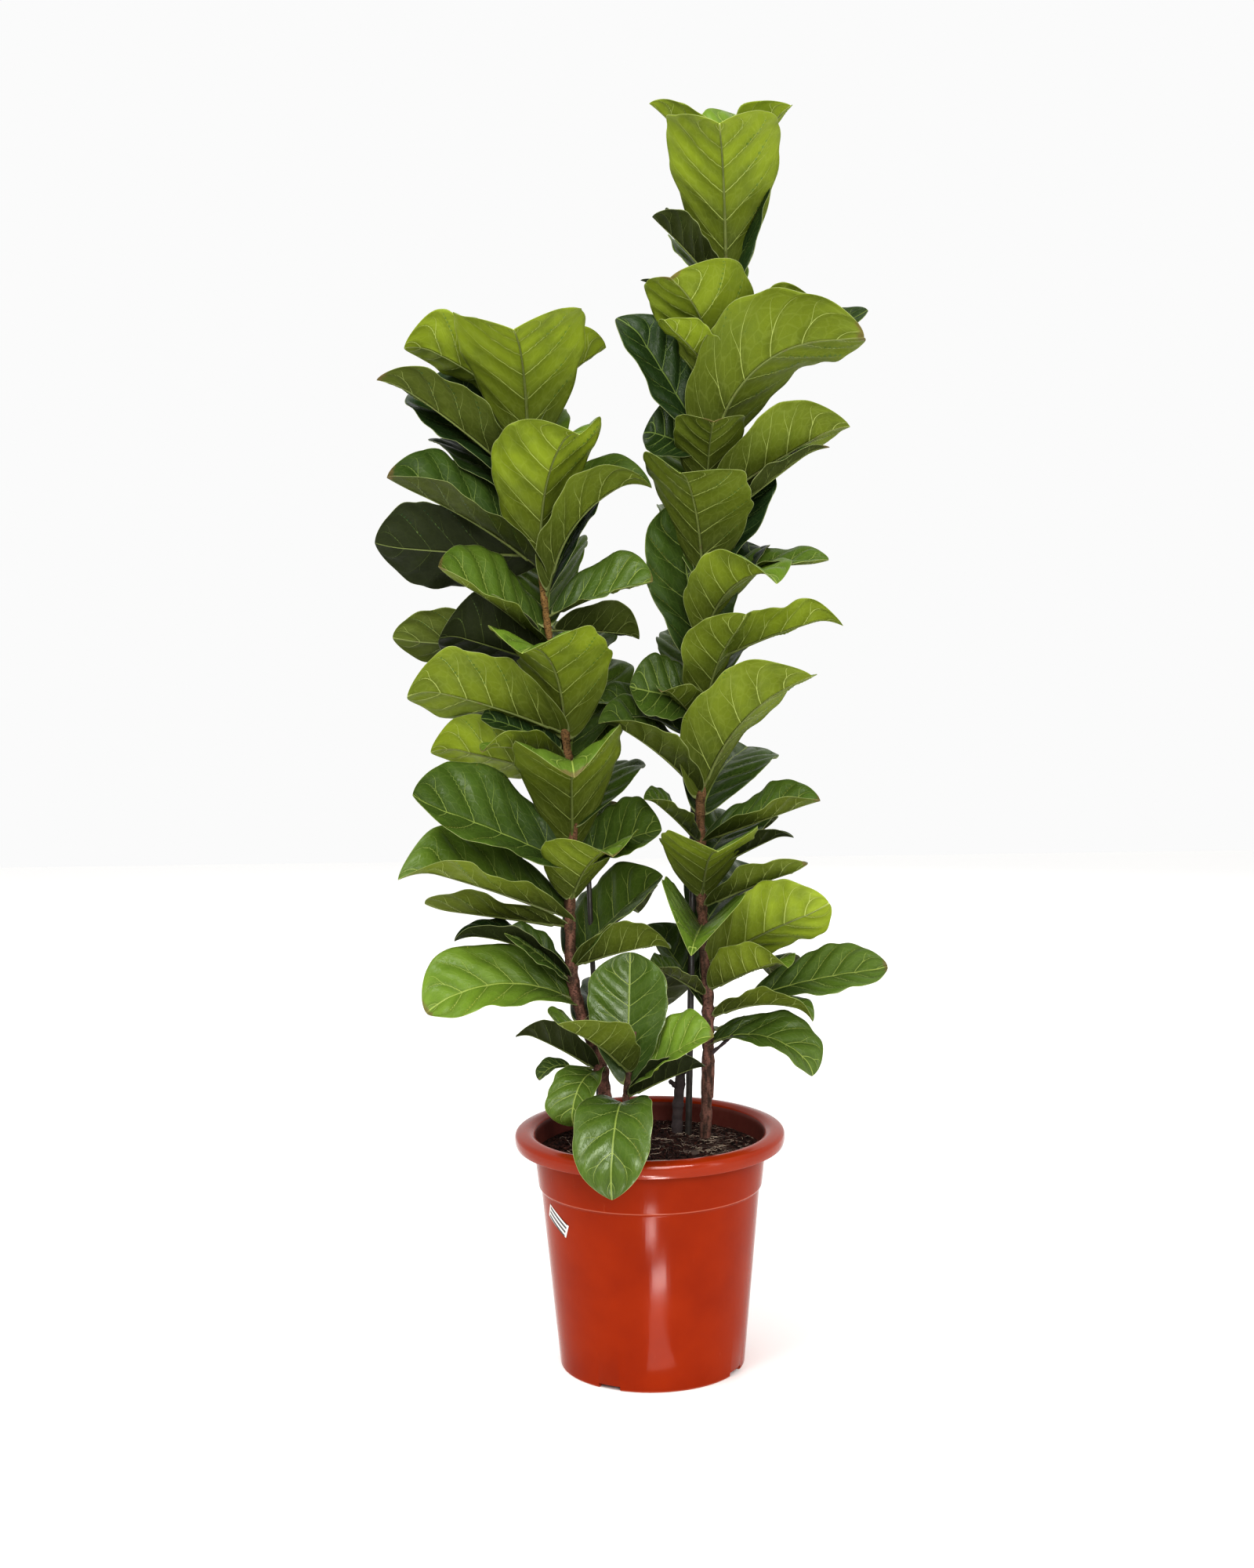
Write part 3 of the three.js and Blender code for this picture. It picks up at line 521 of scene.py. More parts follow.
dead_bark = new_material("dead_bark", BARK_DARK, 0.85)
dress(
    dead_bark, tinted(dead_bark, mottle(dead_bark, 7), DEAD_BARK_DARK, DEAD_BARK_PALE),
    height=mottle(dead_bark, 4, stretch=(1, 1, 0.4)), depth=1.2,
)
bark = new_material("brown_bark", BARK_BROWN, 0.78, Specular_IOR_Level=0.2)
grain = mottle(bark, 6, detail=8.0, stretch=(1, 1, 0.35))
cracks = spread(bark, mottle(bark, 2.6, detail=3.0, stretch=(1, 1, 2.4)), 0.52, 0.68)
colour = tinted(bark, spread(bark, grain, 0.35, 0.65), BARK_DARK, BARK_BROWN)
colour = tinted(bark, spread(bark, mottle(bark, 14), 0.55, 0.8, 0.0, 0.75), colour, BARK_PALE)
youth = spread(bark, height_on(bark), YOUNG_FROM * MM, YOUNG_TO * MM, 0.1, 1.0)
youth = times(bark, youth, spread(bark, grain, 0.2, 0.5))
colour = tinted(bark, youth, colour, BARK_YOUNG)
colour = tinted(bark, times(bark, cracks, 0.7), colour, BARK_DARK)
dress(bark, colour, height=math_of(bark, "SUBTRACT", grain, cracks), depth=1.2, strength=0.8)


def side_shoots(stem, stubs):
    """The dead side shoots of a stem, knotty and a little bent."""
    parts = []
    for height, bearing, reach, radius in stubs:
        foot = point_on(stem, height)
        shares = np.linspace(0, 1, STUB_SIDES)
        stub = [foot + direction(bearing, STUB_RISE) * reach * share for share in shares]
        knots = (radius + 0.8 - 1.3 * shares) * (1 + 0.25 * np.sin(shares * reach * 0.55) ** 6)
        parts.append(tube(stub, knots, STUB_SIDES, waver=0.8))
    return parts


stump = joined([woody(STUMP, STUMP_SCARS), *side_shoots(STUMP, STUMP_STUBS)])
place(new_piece("cut_back_stump", stump, [dead_bark]), "bark", "stump")

stake_plastic = new_material("stake_plastic", STAKE_BLACK, 0.42)
dress(
    stake_plastic, tinted(stake_plastic, mottle(stake_plastic, 5), STAKE_BLACK, STAKE_DUSTY),
    spread(stake_plastic, mottle(stake_plastic, 8), 0.3, 0.7, 0.34, 0.6),
    mottle(stake_plastic, 1.5), depth=0.3,
)
for name, stake in (("stake_right", RIGHT_STAKE), ("stake_left", LEFT_STAKE)):
    low, high = (np.array(end, dtype=float) for end in stake["path"])
    radius = stake["radii"][0]
    tip = high - (high - low) / np.linalg.norm(high - low) * radius
    shares = np.linspace(0, 1, STAKE_RINGS)
    line = [low + (tip - low) * share for share in shares]
    knobs = radius * (0.93 + 0.06 * np.sin(shares * 120) ** 8)
    line += [tip + (high - tip) * step for step in (0.4, 0.75, 0.95)]
    radii = np.concatenate([knobs, radius * np.array([0.85, 0.6, 0.28])])
    rod = tube(line, radii, STAKE_SIDES)
    place(new_piece(f"{name}_rod", rod, [stake_plastic]), "stake", name)

# ---- Leaves -------------------------------------------------------------------------------------
# Each leaf is a broad leathery blade on a short stalk, glossy dark green above and matte olive
# below, with a strong pale midrib, looping side veins and waved margins. It grows from a scar.

# One row is one leaf: height on the stem, bearing, rise of the stalk, bend along the blade,
# length, width, cup of the halves, roll, sweep, stalk, age and shade (0 = old, and painted dark
# where the leaf lies in shade; 1 = young), and for a leaf with a drawn-out tip how sharply it
# closes there.
LEFT_LEAVES = [
    # crown
    (1172, -3, 75, 82, 195, 176, 15, 3, 0, 26, 0.9),
    (1214, -100, 42, 22, 150, 130, 10, 40, 0, 24, 0.8),
    (1195, 108, 56, 30, 125, 125, 10, -25, 0, 24, 0.95),
    (1120, -79, 43, 12, 210, 105, 15, 20, 0, 26, 0.3),
    (1122, -121, 47, 22, 195, 140, 12, -34, 0, 26, 0.1),
    (1185, 170, 59, 30, 120, 100, 20, 0, 0, 20, 0.5),
    (1032, 17, 80, 62, 190, 145, 14, 0, 14, 26, 0.85),
    (1024, -75, 38, 18, 202, 145, 26, -24, 0, 20, 0.25),
    (982, 80, 74, 62, 177, 118, 34, 14, 0, 40, 0.45),
    (1040, -105, 2, -4, 198, 124, 5, 66, 0, 24, 0.0),
    (1095, -128, 42, 20, 165, 120, 10, -20, 0, 24, 0.15),
    # upper middle
    (920, -62, 42, 20, 162, 130, 18, -34, 0, 26, 0.55),
    (900, -78, 20, 4, 128, 130, 10, 52, 0, 24, 0.02),
    (914, -98, 8, 5, 182, 88, 10, 62, 0, 26, 0.3),
    (816, -83, 24, 14, 182, 150, 5, 42, 0, 24, 0.6),
    (962, 74, 24, 16, 122, 108, 15, 30, 0, 24, 0.45),
    (946, 90, 0, 10, 95, 92, 15, -30, 0, 20, 0.2),
    (812, -12, 76, 84, 185, 152, 10, -2, -12, 24, 0.75),
    (790, -85, 32, 20, 95, 84, 10, -30, 0, 24, 0.1),
    (776, -58, 24, 25, 105, 80, 10, 15, 0, 24, 0.6),
    (752, 122, 50, 20, 85, 76, 10, 10, 0, 20, 0.4),
    (762, -105, 12, 0, 160, 112, 10, 50, 0, 24, 0.95),
    (985, 135, 58, 8, 130, 84, 12, 0, 0, 30, 0.04),
    # lower middle
    (672, 2, 76, 82, 184, 152, 15, 8, 0, 26, 0.55),
    (648, -70, 28, 8, 206, 152, 14, -40, 0, 24, 0.35),
    (581, -72, 24, 8, 205, 150, 26, -18, 0, 24, 0.55),
    (570, -100, 7, 2, 168, 92, 10, 24, 0, 24, 0.4),
    (600, 28, 52, 40, 125, 128, 12, 0, 0, 24, 0.65),
    (642, 84, 34, 25, 104, 118, 10, 32, 0, 24, 0.4),
    (502, -84, 40, 42, 142, 106, 10, 6, 0, 24, 0.06),
    (496, -63, 43, 10, 100, 62, 10, -42, 0, 20, 0.3),
    (474, -75, 26, 60, 182, 116, 10, -38, 0, 24, 0.82),
    (518, 75, 20, 12, 116, 100, 12, -28, 0, 20, 0.4),
    (517, 101, 50, 18, 142, 132, 10, 14, 0, 24, 0.42),
    # near the soil
    (380, -82, 34, 12, 102, 92, 10, 25, 0, 20, 0.12),
    (384, -84, 8, 75, 40, 34, 10, -20, 0, 46, 0.3),
    (378, -26, 14, 112, 102, 72, 12, 0, 0, 20, 0.5),
]
RIGHT_LEAVES = [
    # crown, partly above the photographed stretch
    (1385, -5, 75, 70, 200, 160, 20, 0, 0, 24, 0.8),
    (1345, 140, 72, 4, 190, 112, 10, 0, 0, 24, 0.12),
    (1350, -92, 54, 14, 112, 98, 12, 10, 0, 24, 0.15),
    (1362, -125, 59, 20, 110, 90, 10, 0, 0, 24, 0.2),
    (1438, 50, 67, 30, 150, 105, 14, 0, 0, 20, 0.8),
    (1450, -78, 69, 30, 145, 95, 14, 0, 0, 20, 0.8),
    (1470, 165, 70, 30, 130, 85, 14, 0, 0, 18, 0.9),
    (1222, -18, 75, 58, 172, 146, 16, 14, -20, 24, 0.7),
    (1245, -98, 60, 5, 140, 60, 15, 0, 0, 24, 0.1),
    (1246, -47, 45, 20, 100, 80, 10, 0, 0, 20, 0.8),
    (1160, -85, 61, 5, 182, 92, 8, -58, 0, 24, 0.12),
    (1162, 50, 70, 88, 245, 162, 10, -30, 12, 26, 0.56),
    (1275, 72, 36, 12, 115, 100, 10, -20, 0, 24, 0.6),
    (1236, 98, 32, 12, 190, 75, 10, 30, 0, 24, 0.2),
    # upper middle
    (1160, -95, 25, 10, 66, 98, 8, -50, 0, 24, 0.15),
    (1105, 4, 72, 60, 112, 95, 12, 0, 0, 22, 0.42),
    (1098, 77, 33, 8, 172, 132, 12, -26, 0, 32, 0.5),
    (1012, -14, 72, 60, 165, 146, 8, -14, 0, 24, 0.45),
    (996, 108, 64, 8, 150, 112, 12, 38, 0, 26, 0.05),
    (1065, 75, 38, 5, 160, 45, 18, 0, 0, 28, 0.2),
    (892, -128, 78, -4, 192, 130, 8, -32, 0, 24, 0.28),
    (932, 42, 62, 70, 145, 125, 12, -5, 0, 24, 0.65),
    (1003, 85, 16, 20, 135, 78, 10, 15, 0, 24, 0.5),
    (960, 125, 52, 20, 110, 100, 10, 10, 0, 24, 0.06),
    (835, 42, 74, 40, 128, 108, 14, 0, 0, 24, 0.5),
    (900, 76, 24, 10, 160, 92, 12, -22, 0, 26, 0.7),
    (850, -80, 16, 5, 88, 100, 8, -55, 0, 10, 0.35),
    (814, -40, 46, 20, 82, 70, 10, 0, 0, 20, 0.4),
    # lower middle
    (733, 58, 66, 50, 205, 168, 8, -12, 0, 26, 0.6),
    (738, -60, 44, 20, 152, 122, 22, -22, 0, 24, 0.35),
    (800, -100, 30, 20, 130, 90, 10, -20, 0, 24, 0.3),
    (674, 76, 20, 0, 140, 100, 22, 12, 0, 24, 0.4),
    (672, -52, 42, 10, 90, 72, 16, -20, 0, 20, 0.4),
    (598, 8, 58, 60, 126, 134, 14, 0, 0, 24, 0.7),
    (632, 80, 28, 5, 105, 68, 10, -10, 0, 24, 0.1),
    (588, 70, 26, 10, 128, 95, 10, -12, 0, 24, 0.45),
    (566, -8, 0, 8, 104, 172, 40, -10, 0, 20, 0.6),
    (512, 68, 32, 12, 160, 122, 8, -50, 0, 26, 0.95),
    (478, 52, 28, 10, 112, 110, 12, -20, 0, 24, 0.65),
    # near the soil
    (452, 94, 16, 14, 155, 90, 6, 32, 0, 84, 0.5),
    (442, 68, 24, 44, 124, 85, 10, -15, 0, 26, 0.5),
    (426, 140, -8, 10, 70, 60, 10, -20, 0, 22, 0.6),
    (408, 70, 22, 78, 140, 86, 10, 20, 0, 22, 0.45),
    (470, -60, 34, 10, 78, 76, 14, -10, 0, 20, 0.35),
    (452, -130, 50, 10, 120, 90, 10, 0, 0, 24, 0.3),
]
FRONT_LEAVES = [
    (394, -46, 44, 26, 124, 122, 12, 0, 0, 20, 0.45),
    (352, -7, 22, 105, 190, 100, 8, 0, 0, 18, 0.42, 0.3),
    (380, 172, 74, 0, 145, 106, 6, 0, 0, 20, 0.4),
    (372, 66, 42, 16, 122, 108, 10, 30, 0, 20, 0.85),
    (362, 78, 28, 8, 92, 86, 10, -25, 0, 18, 0.03),
    (344, -28, 12, 95, 80, 46, 8, 10, 0, 14, 0.4),
]
BACK_LEFT = {"count": 9, "from": 450, "to": 1120, "seed": 37}
BACK_RIGHT = {"count": 12, "from": 490, "to": 1300, "seed": 17}
GOLDEN_ANGLE = 137.5
BACK_FAN_START = 145
BACK_FAN = 66
BACK_RISE_LOW = 22
BACK_RISE_HIGH = 58
BACK_SPREAD = {
    "rise": (-8, 8), "length": (155, 200), "bend": (15, 50), "breadth": (0.62, 0.76),
    "cup": (6, 16), "roll": (-18, 18), "sweep": (-10, 10), "stalk": (20, 28),
}
DRAW_STEP = 16807  # the minimal standard generator
DRAW_TURN = 2147483647
WIDEST = 0.59
BASE_FULLNESS = 3.6
TIP_FULLNESS = 2.5
ROUND_END = 0.5
WAIST = 0.09
WAIST_AT = 0.27
WAIST_SPREAD = 0.12
EAR = 0.15
EAR_END = 0.25
MARGIN_CURL = 12
MARGIN_WAVE = 0.028
WAVES = 1.9
WAVE_TURN = 2.4
WAVE_SPLIT = 1.3
MIDRIB_STEPS = 40
SINUS = 0.03
SINUS_END = 0.1
RUFFLE = 0.007
SCALLOP = 0.035
QUILT = 0.042
DENTS = 0.009
TIP_DRAWN = 0.36
DRAWN_FROM = 0.8
TIP_CURL = 1.1
CURL_FROM = 0.78
TIP_STOP = 0.985
VEIN_PAIRS = 5.4
VEIN_LIFT = 0.22
VEIN_CURVE = 0.08
BLADE_HALF_THICK = 0.42
EDGE_THINNER = 0.45
BLADE_ROWS = 60
BLADE_COLUMNS = 16
STALK_ROOT_RADIUS = 3.1
STALK_RADIUS = 2.1
RIB_END_RADIUS = 0.35
STALK_SIDES = 10
STALK_RINGS = 9


def back_leaves(fan):
    """The leaves at the back of a tall stem, by the golden angle, with seeded sizes."""
    state = fan["seed"]
    rows = []
    for i in range(fan["count"]):
        draws = []
        for low, high in BACK_SPREAD.values():
            state = state * DRAW_STEP % DRAW_TURN
            draws.append(low + (high - low) * state / DRAW_TURN)
        rise, length, bend, breadth, cup, roll, sweep, stalk = draws
        share = i / (fan["count"] - 1)
        height = fan["from"] + (fan["to"] - fan["from"]) * share
        bearing = BACK_FAN_START + i * GOLDEN_ANGLE % BACK_FAN
        rise += BACK_RISE_LOW + (BACK_RISE_HIGH - BACK_RISE_LOW) * share
        # Lower leaves get darker values: they are older and painted into more shade.
        age_and_shade = 0.2 + 0.5 * share
        width = length * breadth
        rows.append((height, bearing, rise, bend, length, width, cup, roll, sweep, stalk, age_and_shade))
    return rows


def outline(t, sharpness):
    """Half the blade's breadth at t, as a part of half its width."""
    s = 2 * t ** (math.log(0.5) / math.log(WIDEST)) - 1
    closing = np.where(s < 0, ROUND_END, ROUND_END + sharpness)
    full = np.maximum(0, 1 - np.abs(s) ** np.where(s < 0, BASE_FULLNESS, TIP_FULLNESS)) ** closing
    return full * (1 - WAIST * np.exp(-(((t - WAIST_AT) / WAIST_SPREAD) ** 2)))


def leaf_parts(stem, row, index):
    """A leaf's blade as grids of points and values, and its stalk with the midrib as a tube."""
    height, bearing, rise, bend, length, width, cup, roll, sweep, stalk, age_and_shade, *rest = row
    sharpness = rest[0] if rest else 0
    foot = point_on(stem, height)
    root = foot + direction(bearing, rise) * stalk
    half_steps = (np.arange(MIDRIB_STEPS) + 0.5) / MIDRIB_STEPS
    steps = direction(bearing + sweep * half_steps, rise - bend * half_steps)
    steps = steps * length / MIDRIB_STEPS
    midrib = root + np.vstack([np.zeros(3), np.cumsum(steps, axis=0)])
    t = (1 - np.cos(np.linspace(0, TIP_STOP, BLADE_ROWS) * math.pi)) / 2
    u = np.linspace(-1, 1, 2 * BLADE_COLUMNS + 1)
    u = np.sign(u) * np.abs(u) ** 1.1
    grid_at = np.linspace(0, 1, MIDRIB_STEPS + 1)
    spine = np.stack([np.interp(t, grid_at, midrib[:, axis]) for axis in range(3)], axis=-1)
    heading = np.radians(bearing + sweep * t)
    along = direction(bearing + sweep * t, rise - bend * t)
    level = np.stack([np.cos(heading), np.sin(heading), np.zeros_like(t)], axis=-1)
    upper = np.cross(along, level)
    turn = math.radians(roll)
    side = level * math.cos(turn) + upper * math.sin(turn)
    face = upper * math.cos(turn) - level * math.sin(turn)
    curl = TIP_CURL * (1.4 * math.sin(index * 2.9 + 1) - 0.5)
    spine = spine + face * (curl * length * np.maximum(0, t - CURL_FROM) ** 2)[:, None]

    tt, uu = np.meshgrid(t, u, indexing="ij")
    au = np.abs(uu)
    fade = np.sin(math.pi * tt)
    veins = VEIN_PAIRS * (tt - VEIN_LIFT * au - VEIN_CURVE * au ** 2) + 0.3 * math.sin(index * 1.3)
    pillow = np.abs(np.sin(math.pi * veins))
    drawn = 1 - TIP_DRAWN * np.maximum(0, (tt - DRAWN_FROM) / (1 - DRAWN_FROM)) ** 1.5
    half = width / 2 * outline(tt, sharpness) * drawn * (1 + SCALLOP * (pillow - 0.6))
    tilt = np.radians(cup + MARGIN_CURL * au)
    phase = 2 * math.pi * WAVES * tt + index * WAVE_TURN + np.where(uu > 0, WAVE_SPLIT, 0)
    wave = MARGIN_WAVE * length * uu ** 2 * fade * np.sin(phase)
    wave += RUFFLE * length * au ** 4 * fade * np.sin(2 * math.pi * veins + index * 1.7 + uu)
    dents = np.sin(8.1 * tt + 3.3 * uu + index * 2.1) * np.sin(5.2 * uu - 6.4 * tt + index * 0.9)
    wave += DENTS * length * dents * np.clip(fade * 1.5, 0, 1) * au ** 0.5
    swell = 0.65 + 0.7 * np.abs(np.sin(np.floor(veins) * 12.99 + (uu > 0) * 78.2 + index * 37.7))
    quilt = QUILT * length * swell * pillow ** 0.8 * np.clip(fade * 1.8, 0, 1)
    quilt *= au ** 0.5 * (1 - au ** 4)
    lobe = EAR * length * au * np.maximum(0, 1 - tt / EAR_END) ** 2
    gap = SINUS * length * uu * au ** 0.3 * np.maximum(0, 1 - tt / SINUS_END) ** 2
    lean = (np.sign(uu) * np.sin(tilt))[..., None]
    normal = face[:, None] * np.cos(tilt)[..., None] - side[:, None] * lean
    middle = spine[:, None] + side[:, None] * (uu * half * np.cos(tilt) + gap)[..., None]
    middle = middle + face[:, None] * (au * half * np.sin(tilt) + wave)[..., None]
    middle = middle - along[:, None] * lobe[..., None] + normal * quilt[..., None]
    thick = (BLADE_HALF_THICK * (1 - EDGE_THINNER * au))[..., None]
    blade = {
        "upper": middle + normal * thick, "under": middle - normal * thick,
        "veins": veins, "t": tt, "u": uu, "rib": au * half, "edge": (1 - au) * half,
        "age_and_shade": age_and_shade, "length": length, "worn": 0.5 + 0.5 * math.sin(index * 4.7),
    }
    shares = np.linspace(0, 1, STALK_RINGS)
    line = [foot + (root - foot) * share for share in shares[:-1]]
    radii = list(STALK_RADIUS + (STALK_ROOT_RADIUS - STALK_RADIUS) * (1 - shares[:-1]) ** 3)
    scale = min(1, 0.55 + length / 400)
    for k in range(0, BLADE_ROWS - 2, 2):
        radius = STALK_RADIUS + (RIB_END_RADIUS - STALK_RADIUS) * t[k] ** 0.75
        line.append(spine[k] - face[k] * (radius * scale - 0.25))
        radii.append(radius)
    return blade, tube(line, np.array(radii) * scale, STALK_SIDES)


def blade_mesh(name, blades, materials):
    """All blades of one stem in one piece: upper and under faces sewn at the margins."""
    upper, under, rim = sheet_faces(BLADE_ROWS, 2 * BLADE_COLUMNS + 1)
    one = np.concatenate([upper, under, rim])
    count = 2 * BLADE_ROWS * (2 * BLADE_COLUMNS + 1)
    kinds = np.repeat([0, 1], [len(upper), len(under) + len(rim)])
    points = np.concatenate([b[side].reshape(-1, 3) for b in blades for side in ("upper", "under")])
    faces = np.concatenate([one + count * i for i in range(len(blades))])
    piece = new_piece(name, (points, faces), materials, np.tile(kinds, len(blades)))
    corners = np.zeros(len(piece.data.loops), dtype=np.int32)
    piece.data.loops.foreach_get("vertex_index", corners)
    maps = {"veins": ("veins", "u"), "rims": ("rib", "edge"), "blade": ("u", "t")}
    for map_name, keys in maps.items():
        values = [np.concatenate([np.tile(b[key].reshape(-1), 2) for b in blades]) for key in keys]
        values = np.stack(values, axis=-1)[corners].reshape(-1)
        made = piece.data.uv_layers.new(name=map_name)
        made.data.foreach_set("uv", values.astype(np.float32))
    for key in ("age_and_shade", "length", "worn"):
        made = piece.data.attributes.new(key, "FLOAT", "POINT")
        values = np.concatenate([np.full(count, b[key]) for b in blades])
        made.data.foreach_set("value", values.astype(np.float32))
    return piece


def value_of(skin, name):
    """One of the blade's values for the whole leaf."""
    return add_node(skin, "Attribute", attribute_name=name).outputs["Fac"]


def vein_marks(skin):
    """The midrib with the side veins, the faint net between them, and the way to the margin."""
    phase, across = map_of(skin, "veins")
    rib, edge = map_of(skin, "rims")
    across = math_of(skin, "ABSOLUTE", across)
    spacing = math_of(skin, "DIVIDE", value_of(skin, "length"), VEIN_PAIRS)

    def line(shifted, widest):
        reach = times(skin, math_of(skin, "PINGPONG", shifted, 0.5), spacing)
        thin = spread(skin, across, 0.15, 0.95, widest, widest * 0.3)
        return spread(skin, math_of(skin, "DIVIDE", reach, thin), 0.4, 1.0, 1.0, 0.0)

    side_vein = line(phase, VEIN_WIDTH)
    side_vein = times(skin, side_vein, spread(skin, across, 0.82, 0.98, 1.0, 0.0))
    parting = spread(skin, across, 0.3, 0.85, 0.0, 0.42)
    fork = line(math_of(skin, "ADD", phase, parting), FORK_WIDTH)
    fork = times(skin, fork, spread(skin, across, 0.3, 0.36))
    fork = times(skin, fork, spread(skin, across, 0.7, 0.92, 0.75, 0.0))
    midrib = spread(skin, rib, *RIB_MARK, 1.0, 0.0)
    strong = math_of(skin, "MAXIMUM", midrib, math_of(skin, "MAXIMUM", side_vein, fork))
    age_and_shade = value_of(skin, "age_and_shade")
    cells = {"X": (phase, 3.0), "Y": (across, 6.0), "Z": (age_and_shade, 40.0)}
    cells = {axis: times(skin, *pair) for axis, pair in cells.items()}
    cells = {"Vector": add_node(skin, "CombineXYZ", cells).outputs[0], "Scale": 1.0}
    net = add_node(skin, "TexVoronoi", cells, feature="DISTANCE_TO_EDGE")
    fine = spread(skin, net.outputs["Distance"], 0.01, 0.09, 1.0, 0.0)
    return strong, fine, edge


def leaf_skin(skin, side):
    """The colour of one side of the leaves, from the vein marks, each leaf's age and painted shade.
    """
    strong, fine, edge = vein_marks(skin)
    age_and_shade = value_of(skin, "age_and_shade")
    vein = tinted(skin, spread(skin, age_and_shade, 0.0, 0.6), side["shaded_old_vein"], side["vein"])
    # Painted shade: a leaf lying in shade has a low value and takes the dark old colour.
    colour = tinted(skin, spread(skin, age_and_shade, 0.0, 1.0), side["shaded_old"], side["young"])
    patches = spread(skin, mottle(skin, PATCH_SIZE, detail=2.0), 0.42, 0.72, 0.0, 0.5)
    patches = times(skin, patches, spread(skin, age_and_shade, 0.05, 0.5))
    colour = tinted(skin, patches, colour, side["patch"])
    # Painted shade: each blade darkens in the creases along its side veins, most near the midrib.
    phase, across = map_of(skin, "veins")
    crease_shade = math_of(skin, "PINGPONG", phase, 0.5)
    crease_shade = spread(skin, crease_shade, 0.0, 0.3, CREASE_SHADE_SHARE, 0.0)
    near_rib = spread(skin, math_of(skin, "ABSOLUTE", across), 0.1, 0.9, 1.0, 0.25)
    colour = tinted(skin, times(skin, crease_shade, near_rib), colour, side["shaded_old"])
    _, along = map_of(skin, "blade")
    shade = spread(skin, along, 0.0, 0.6, FOOT_SHADE, 0.0)
    colour = tinted(skin, shade, colour, side["shaded_old"])
    colour = tinted(skin, times(skin, fine, NET_SHARE), colour, vein)
    colour = tinted(skin, times(skin, strong, VEIN_SHARE), colour, vein)
    margin = spread(skin, edge, 0.25, 0.8, MARGIN_SHARE, 0.0)
    colour = tinted(skin, margin, colour, side["margin"])
    tip = math_of(skin, "ADD", along, times(skin, mottle(skin, 9), 0.05))
    worn = spread(skin, value_of(skin, "worn"), 0.8, 0.9, 0.0, 0.7)
    browned = times(skin, spread(skin, tip, 0.985, 1.01), worn)
    return tinted(skin, browned, colour, TIP_BROWN), strong, fine


VEIN_WIDTH = 1.0
FORK_WIDTH = 0.7
RIB_MARK = (0.7, 1.6)
PATCH_SIZE = 42
CREASE_SHADE_SHARE = 0.26
FOOT_SHADE = 0.6
VEIN_SHARE = 0.6
NET_SHARE = 0.05
MARGIN_SHARE = 0.55
TIP_BROWN = (0.15, 0.10, 0.04)
# The darkest colours, nearly black, paint the shade deep in the plant as well as old leaves' green.
UPPER = {
    "shaded_old": (0.011, 0.027, 0.007), "young": (0.155, 0.245, 0.026),
    "patch": (0.075, 0.135, 0.016), "margin": (0.36, 0.40, 0.17),
    "shaded_old_vein": (0.17, 0.24, 0.06), "vein": (0.40, 0.48, 0.12),
}
UNDER = {
    "shaded_old": (0.018, 0.024, 0.006), "young": (0.240, 0.305, 0.020),
    "patch": (0.12, 0.16, 0.02), "margin": (0.36, 0.40, 0.18),
    "shaded_old_vein": (0.07, 0.09, 0.025), "vein": (0.56, 0.64, 0.20),
}
leaf_upper = new_material("leaf_upper", UPPER["shaded_old"], 0.36, Specular_IOR_Level=0.17)
colour, strong, fine = leaf_skin(leaf_upper, UPPER)
relief = math_of(leaf_upper, "ADD", times(leaf_upper, fine, -0.2), times(leaf_upper, strong, -1.0))
relief = math_of(leaf_upper, "ADD", relief, mottle(leaf_upper, 7))
gloss = spread(leaf_upper, mottle(leaf_upper, 16), 0.3, 0.7, 0.25, 0.41)
dress(leaf_upper, colour, gloss, relief, depth=0.7, strength=0.7)
leaf_under = new_material("leaf_under", UNDER["shaded_old"], 0.58, Specular_IOR_Level=0.12)
colour, strong, _ = leaf_skin(leaf_under, UNDER)
relief = math_of(leaf_under, "ADD", strong, mottle(leaf_under, 6))
gloss = spread(leaf_under, mottle(leaf_under, 12), 0.3, 0.7, 0.5, 0.66)
dress(leaf_under, colour, gloss, relief, depth=0.8, strength=0.8)

STALK_GREEN = (0.085, 0.11, 0.026)
STALK_PALE = (0.19, 0.22, 0.06)
STALK_BROWN = (0.10, 0.062, 0.032)
leaf_stalk = new_material("leaf_stalk", STALK_GREEN, 0.5, Specular_IOR_Level=0.3)
colour = tinted(leaf_stalk, mottle(leaf_stalk, 20), STALK_GREEN, STALK_PALE)
browned = spread(leaf_stalk, mottle(leaf_stalk, 7), 0.5, 0.8, 0.0, 0.6)
colour = tinted(leaf_stalk, browned, colour, STALK_BROWN)
dress(leaf_stalk, colour, height=mottle(leaf_stalk, 3), depth=0.4)

for name, node, stem, scars, leaves in (
    ("left", "leafy_stem_left", LEFT_STEM, LEFT_SCARS, LEFT_LEAVES + back_leaves(BACK_LEFT)),
    ("right", "leafy_stem_right", RIGHT_STEM, RIGHT_SCARS, RIGHT_LEAVES + back_leaves(BACK_RIGHT)),
    ("front", "leafy_shoot_front", FRONT_STEM, FRONT_SCARS, FRONT_LEAVES),
):
    made = [leaf_parts(stem, row, index) for index, row in enumerate(leaves)]
    blades = [blade for blade, _ in made]
    place(blade_mesh(f"{name}_blades", blades, [leaf_upper, leaf_under]), "leaf", node)
    stalks = joined([stalk for _, stalk in made])
    place(new_piece(f"{name}_stalks", stalks, [leaf_stalk]), "leaf", node)
    trunk = woody(stem, [row[0] for row in leaves] + list(scars))
    place(new_piece(f"{name}_trunk", trunk, [bark]), "bark", node)
twig = joined(side_shoots(RIGHT_STEM, RIGHT_STUBS))
place(new_piece("right_dead_twig", twig, [dead_bark]), "bark", "leafy_stem_right")

